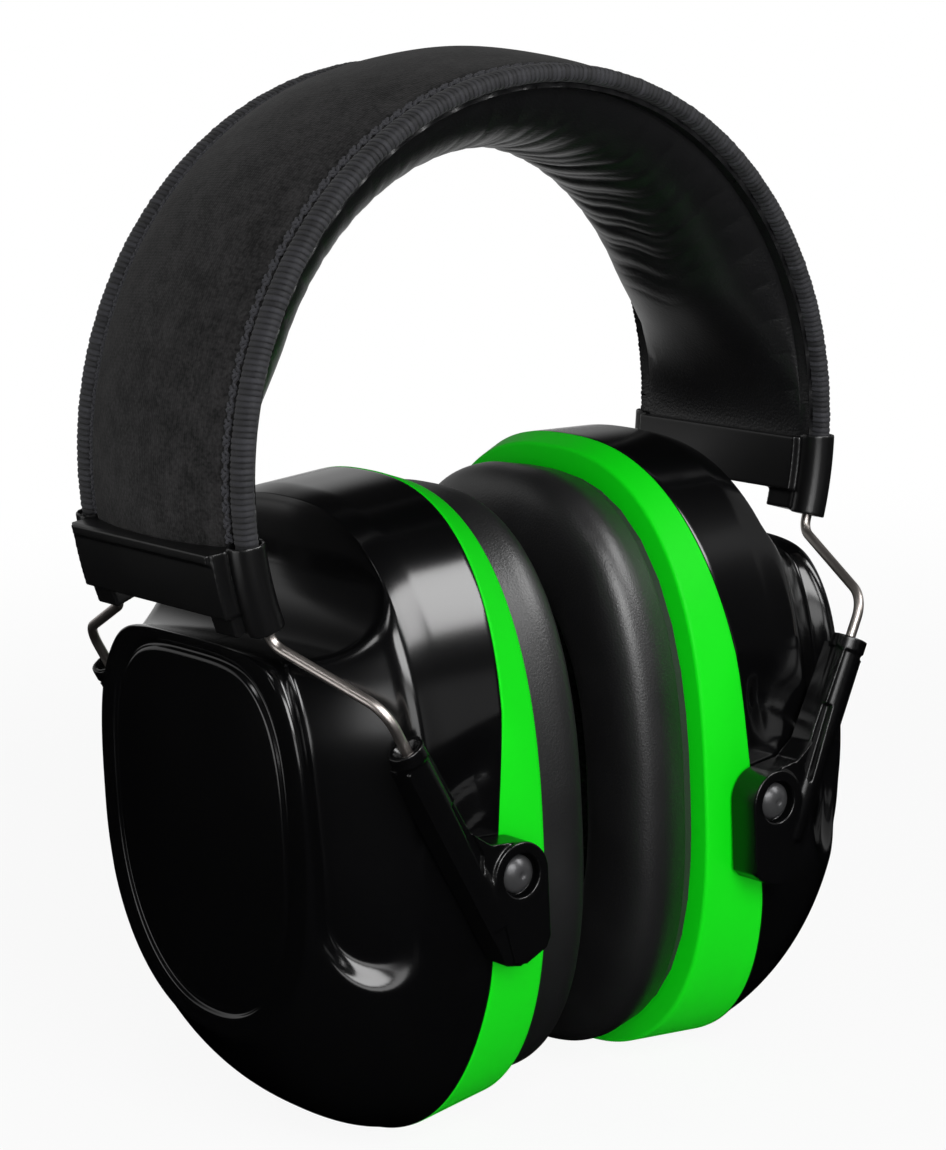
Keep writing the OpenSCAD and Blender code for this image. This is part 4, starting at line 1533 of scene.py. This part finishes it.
    def build(self) -> None:
        """Models both cups and ties their pieces to the cups' bodies."""
        for model, finish, slot, nodes in (
            (self.shell(), self.finishes.shell, "shell_plastic", ("shell",)),
            (self.ring(), self.finishes.ring, "ring_plastic", ("ring",)),
            (self.cushion(), self.finishes.cushion, "cushion_skin", CUSHION_NODES),
            (self.foam(), self.finishes.foam, "cup_foam", ("cup_foam",)),
        ):
            for side, piece in both_sides(model):
                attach(piece, side.node("cup"))
                tie(piece, finish, slot, *(side.node(node) for node in nodes))


# Studio


@dataclass(frozen=True)
class SoftBox:
    """A rectangular studio light that shines on the object, with its distance and size in metres."""

    name: str
    azimuth: float
    elevation: float
    distance: float
    size: Span
    power: float
    mirrored: bool = True
    lights: bool = True
    aim: Place = (0.0, 0.0, 0.03)

    def build(self) -> None:
        """Adds the light."""
        way = heading(self.azimuth, self.elevation)
        lamp = added(
            bpy.ops.object.light_add,
            type="AREA",
            location=Vector(self.aim) + way * self.distance,
            rotation=way.to_track_quat("Z", "Y").to_euler(),
        )
        lamp.name = self.name
        lamp.data.shape = "RECTANGLE"
        lamp.data.size, lamp.data.size_y = self.size
        lamp.data.energy = self.power
        lamp.visible_glossy = self.mirrored
        lamp.visible_diffuse = self.lights


@dataclass
class Studio:
    """Floor, lights and the camera of the photograph."""

    azimuth: float = -38.22
    elevation: float = 12.13
    roll: float = -2.52
    distance: float = 575.83
    look_at: Place = (1.97, 2.63, 38.02)
    focal_pixels: float = 3242.73
    photo_height: float = 1150.0
    sensor: float = 36.0
    floor_reach: float = 40.0
    floor_tone: float = 0.8
    floor_glow: float = 0.92
    glow_near: float = 0.22
    glow_far: float = 0.6
    sweep_near: float = 0.9
    sweep_far: float = 2.5
    sweep_level: float = 0.55
    room_level: float = 0.014
    ambient: float = 0.15
    wedge_way: Place = (0.6, 0.8, 0.0)
    wedge_near: float = 0.12
    wedge_far: float = 0.3
    wedge_edge: Span = (0.85, 0.95)
    sweep_way: Place = (-0.1, 0.995, 0.0)
    sweep_edge: Span = (0.6, 0.75)
    sweep_foot: Span = (-0.02, 0.06)
    sweep_top: Span = (0.35, 0.65)
    floor_gap: float = 0.0003

    def camera(self) -> None:
        """Adds the camera at the photograph's viewing angle."""
        back = heading(self.azimuth, self.elevation)
        side = Vector((0, 0, 1)).cross(back).normalized()
        up = back.cross(side)
        lean = math.radians(self.roll)
        axes = (
            math.cos(lean) * side + math.sin(lean) * up,
            math.cos(lean) * up - math.sin(lean) * side,
            back,
        )
        turn = Matrix(axes).transposed().to_4x4()
        place = (Vector(self.look_at) + back * self.distance) * MM
        camera = added(bpy.ops.object.camera_add)
        camera.matrix_world = Matrix.Translation(place) @ turn
        camera.data.lens = self.focal_pixels / self.photo_height * self.sensor
        camera.data.sensor_width = self.sensor
        camera.data.clip_start = 0.01
        bpy.context.scene.camera = camera

    def seen(self, tint: Tint, behind: Link) -> Link:
        """Gives 1 where the white background shows.

        Args:
            tint: The tree of the floor or of the world.
            behind: 1 where the background sweep stands behind the object.

        Returns:
            1 to the camera, and to reflections and refractions of the sweep.
        """
        mirrored_rays = tint.ray("Glossy").most(tint.ray("Transmission"))
        return tint.ray("Camera").most(mirrored_rays * behind * self.sweep_level)

    def floor(self, height: float) -> None:
        """Adds the pale floor, which keeps the object's shadow.

        Args:
            height: Z of the floor, in metres.
        """
        middle = (0, 0, height)
        floor = added(bpy.ops.mesh.primitive_plane_add, size=self.floor_reach, location=middle)
        floor.name = "floor"
        tint = Tint.of_material("pale_floor")
        place = tint.link("ShaderNodeNewGeometry", "Position")
        reach = tint.link("ShaderNodeVectorMath", "Value", {"operation": "LENGTH"}, {0: place})
        far = tint.ramp(tint.along(place, Vector(self.sweep_way)), self.sweep_near, self.sweep_far)
        way = tint.link("ShaderNodeVectorMath", "Vector", {"operation": "NORMALIZE"}, {0: place})
        wedge = tint.ramp(tint.along(way, Vector(self.wedge_way)), *self.wedge_edge)
        behind = far.most(wedge * tint.ramp(reach, self.wedge_near, self.wedge_far))
        outer = tint.ramp(reach, self.glow_near, self.glow_far)
        glow_share = outer * (1 - self.floor_glow) + self.floor_glow
        paint, dark = (
            tint.link("ShaderNodeBsdfDiffuse", "BSDF", None, {"Color": (tone, tone, tone, 1.0)})
            for tone in (self.floor_tone, 0.0)
        )
        glow = tint.link("ShaderNodeEmission", "Emission", None, {"Color": WHITE, "Strength": 1.0})
        unseen = tint.ray("Glossy") * (1.0 - behind)
        ground = tint.link("ShaderNodeMixShader", "Shader", None, {0: unseen, 1: paint, 2: dark})
        feeds = {0: self.seen(tint, behind) * glow_share, 1: ground, 2: glow}
        dress(floor, tint.output(tint.node("ShaderNodeMixShader", None, feeds).outputs["Shader"]))
        floor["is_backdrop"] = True

    def world(self) -> None:
        """Sets a dim room with a white sweep behind the object."""
        world = bpy.data.worlds.new("studio")
        bpy.context.scene.world = world
        tint = Tint(world)
        way = tint.link("ShaderNodeTexCoord", "Generated")
        rise = tint.along(way, Vector((0, 0, 1)))
        low = tint.ramp(rise, *self.sweep_foot) * (1.0 - tint.ramp(rise, *self.sweep_top))
        behind = tint.ramp(tint.along(way, Vector(self.sweep_way)), *self.sweep_edge) * low
        room = tint.ray("Diffuse") * self.ambient + self.room_level
        level = self.seen(tint, behind) * (1 - self.room_level) + room
        feeds = {"Color": WHITE, "Strength": level}
        sky = tint.link("ShaderNodeBackground", "Background", None, feeds)
        tint.node("ShaderNodeOutputWorld", None, {"Surface": sky})

    def build(self) -> None:
        """Sets the stage."""
        low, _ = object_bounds()
        self.camera()
        self.floor(low.z - self.floor_gap)
        self.world()
        for lamp in (
            SoftBox("key", 38.0, 40.0, 0.9, (0.3, 0.38), 3.2, lights=False),
            SoftBox("left_box", -20.0, 30.0, 0.85, (0.55, 0.34), 4.6),
            SoftBox("front_card", -28.0, 8.0, 0.9, (0.55, 0.2), 0.9),
            SoftBox("seat_card", 24.0, 6.0, 0.9, (0.25, 0.25), 0.06),
            SoftBox("lip_card", -86.0, 47.0, 0.8, (0.16, 0.12), 0.28),
            SoftBox("left_strip", -103.0, -4.0, 0.36, (0.26, 0.12), 0.15),
            SoftBox("right_wall", 84.0, 8.0, 1.2, (1.2, 1.2), 1.1),
            SoftBox("fill", -20.0, 4.0, 1.2, (1.0, 0.8), 7.4, mirrored=False),
        ):
            lamp.build()
        bpy.context.scene.view_settings.view_transform = "Standard"


def main() -> None:
    """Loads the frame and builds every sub-assembly."""
    logging.basicConfig(level=logging.INFO, format="%(message)s")
    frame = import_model()
    finishes = Finishes()
    arch = Arch.measured()
    Studio().build()
    Cup(finishes).build()
    PivotArms(finishes).build()
    EndCap(arch, finishes).build()
    Headband(arch, finishes).build()
    for side in Side:
        dress(frame["nodes"][side.node("cushion_plate")], finishes.plate)


if __name__ == "__main__":
    main()
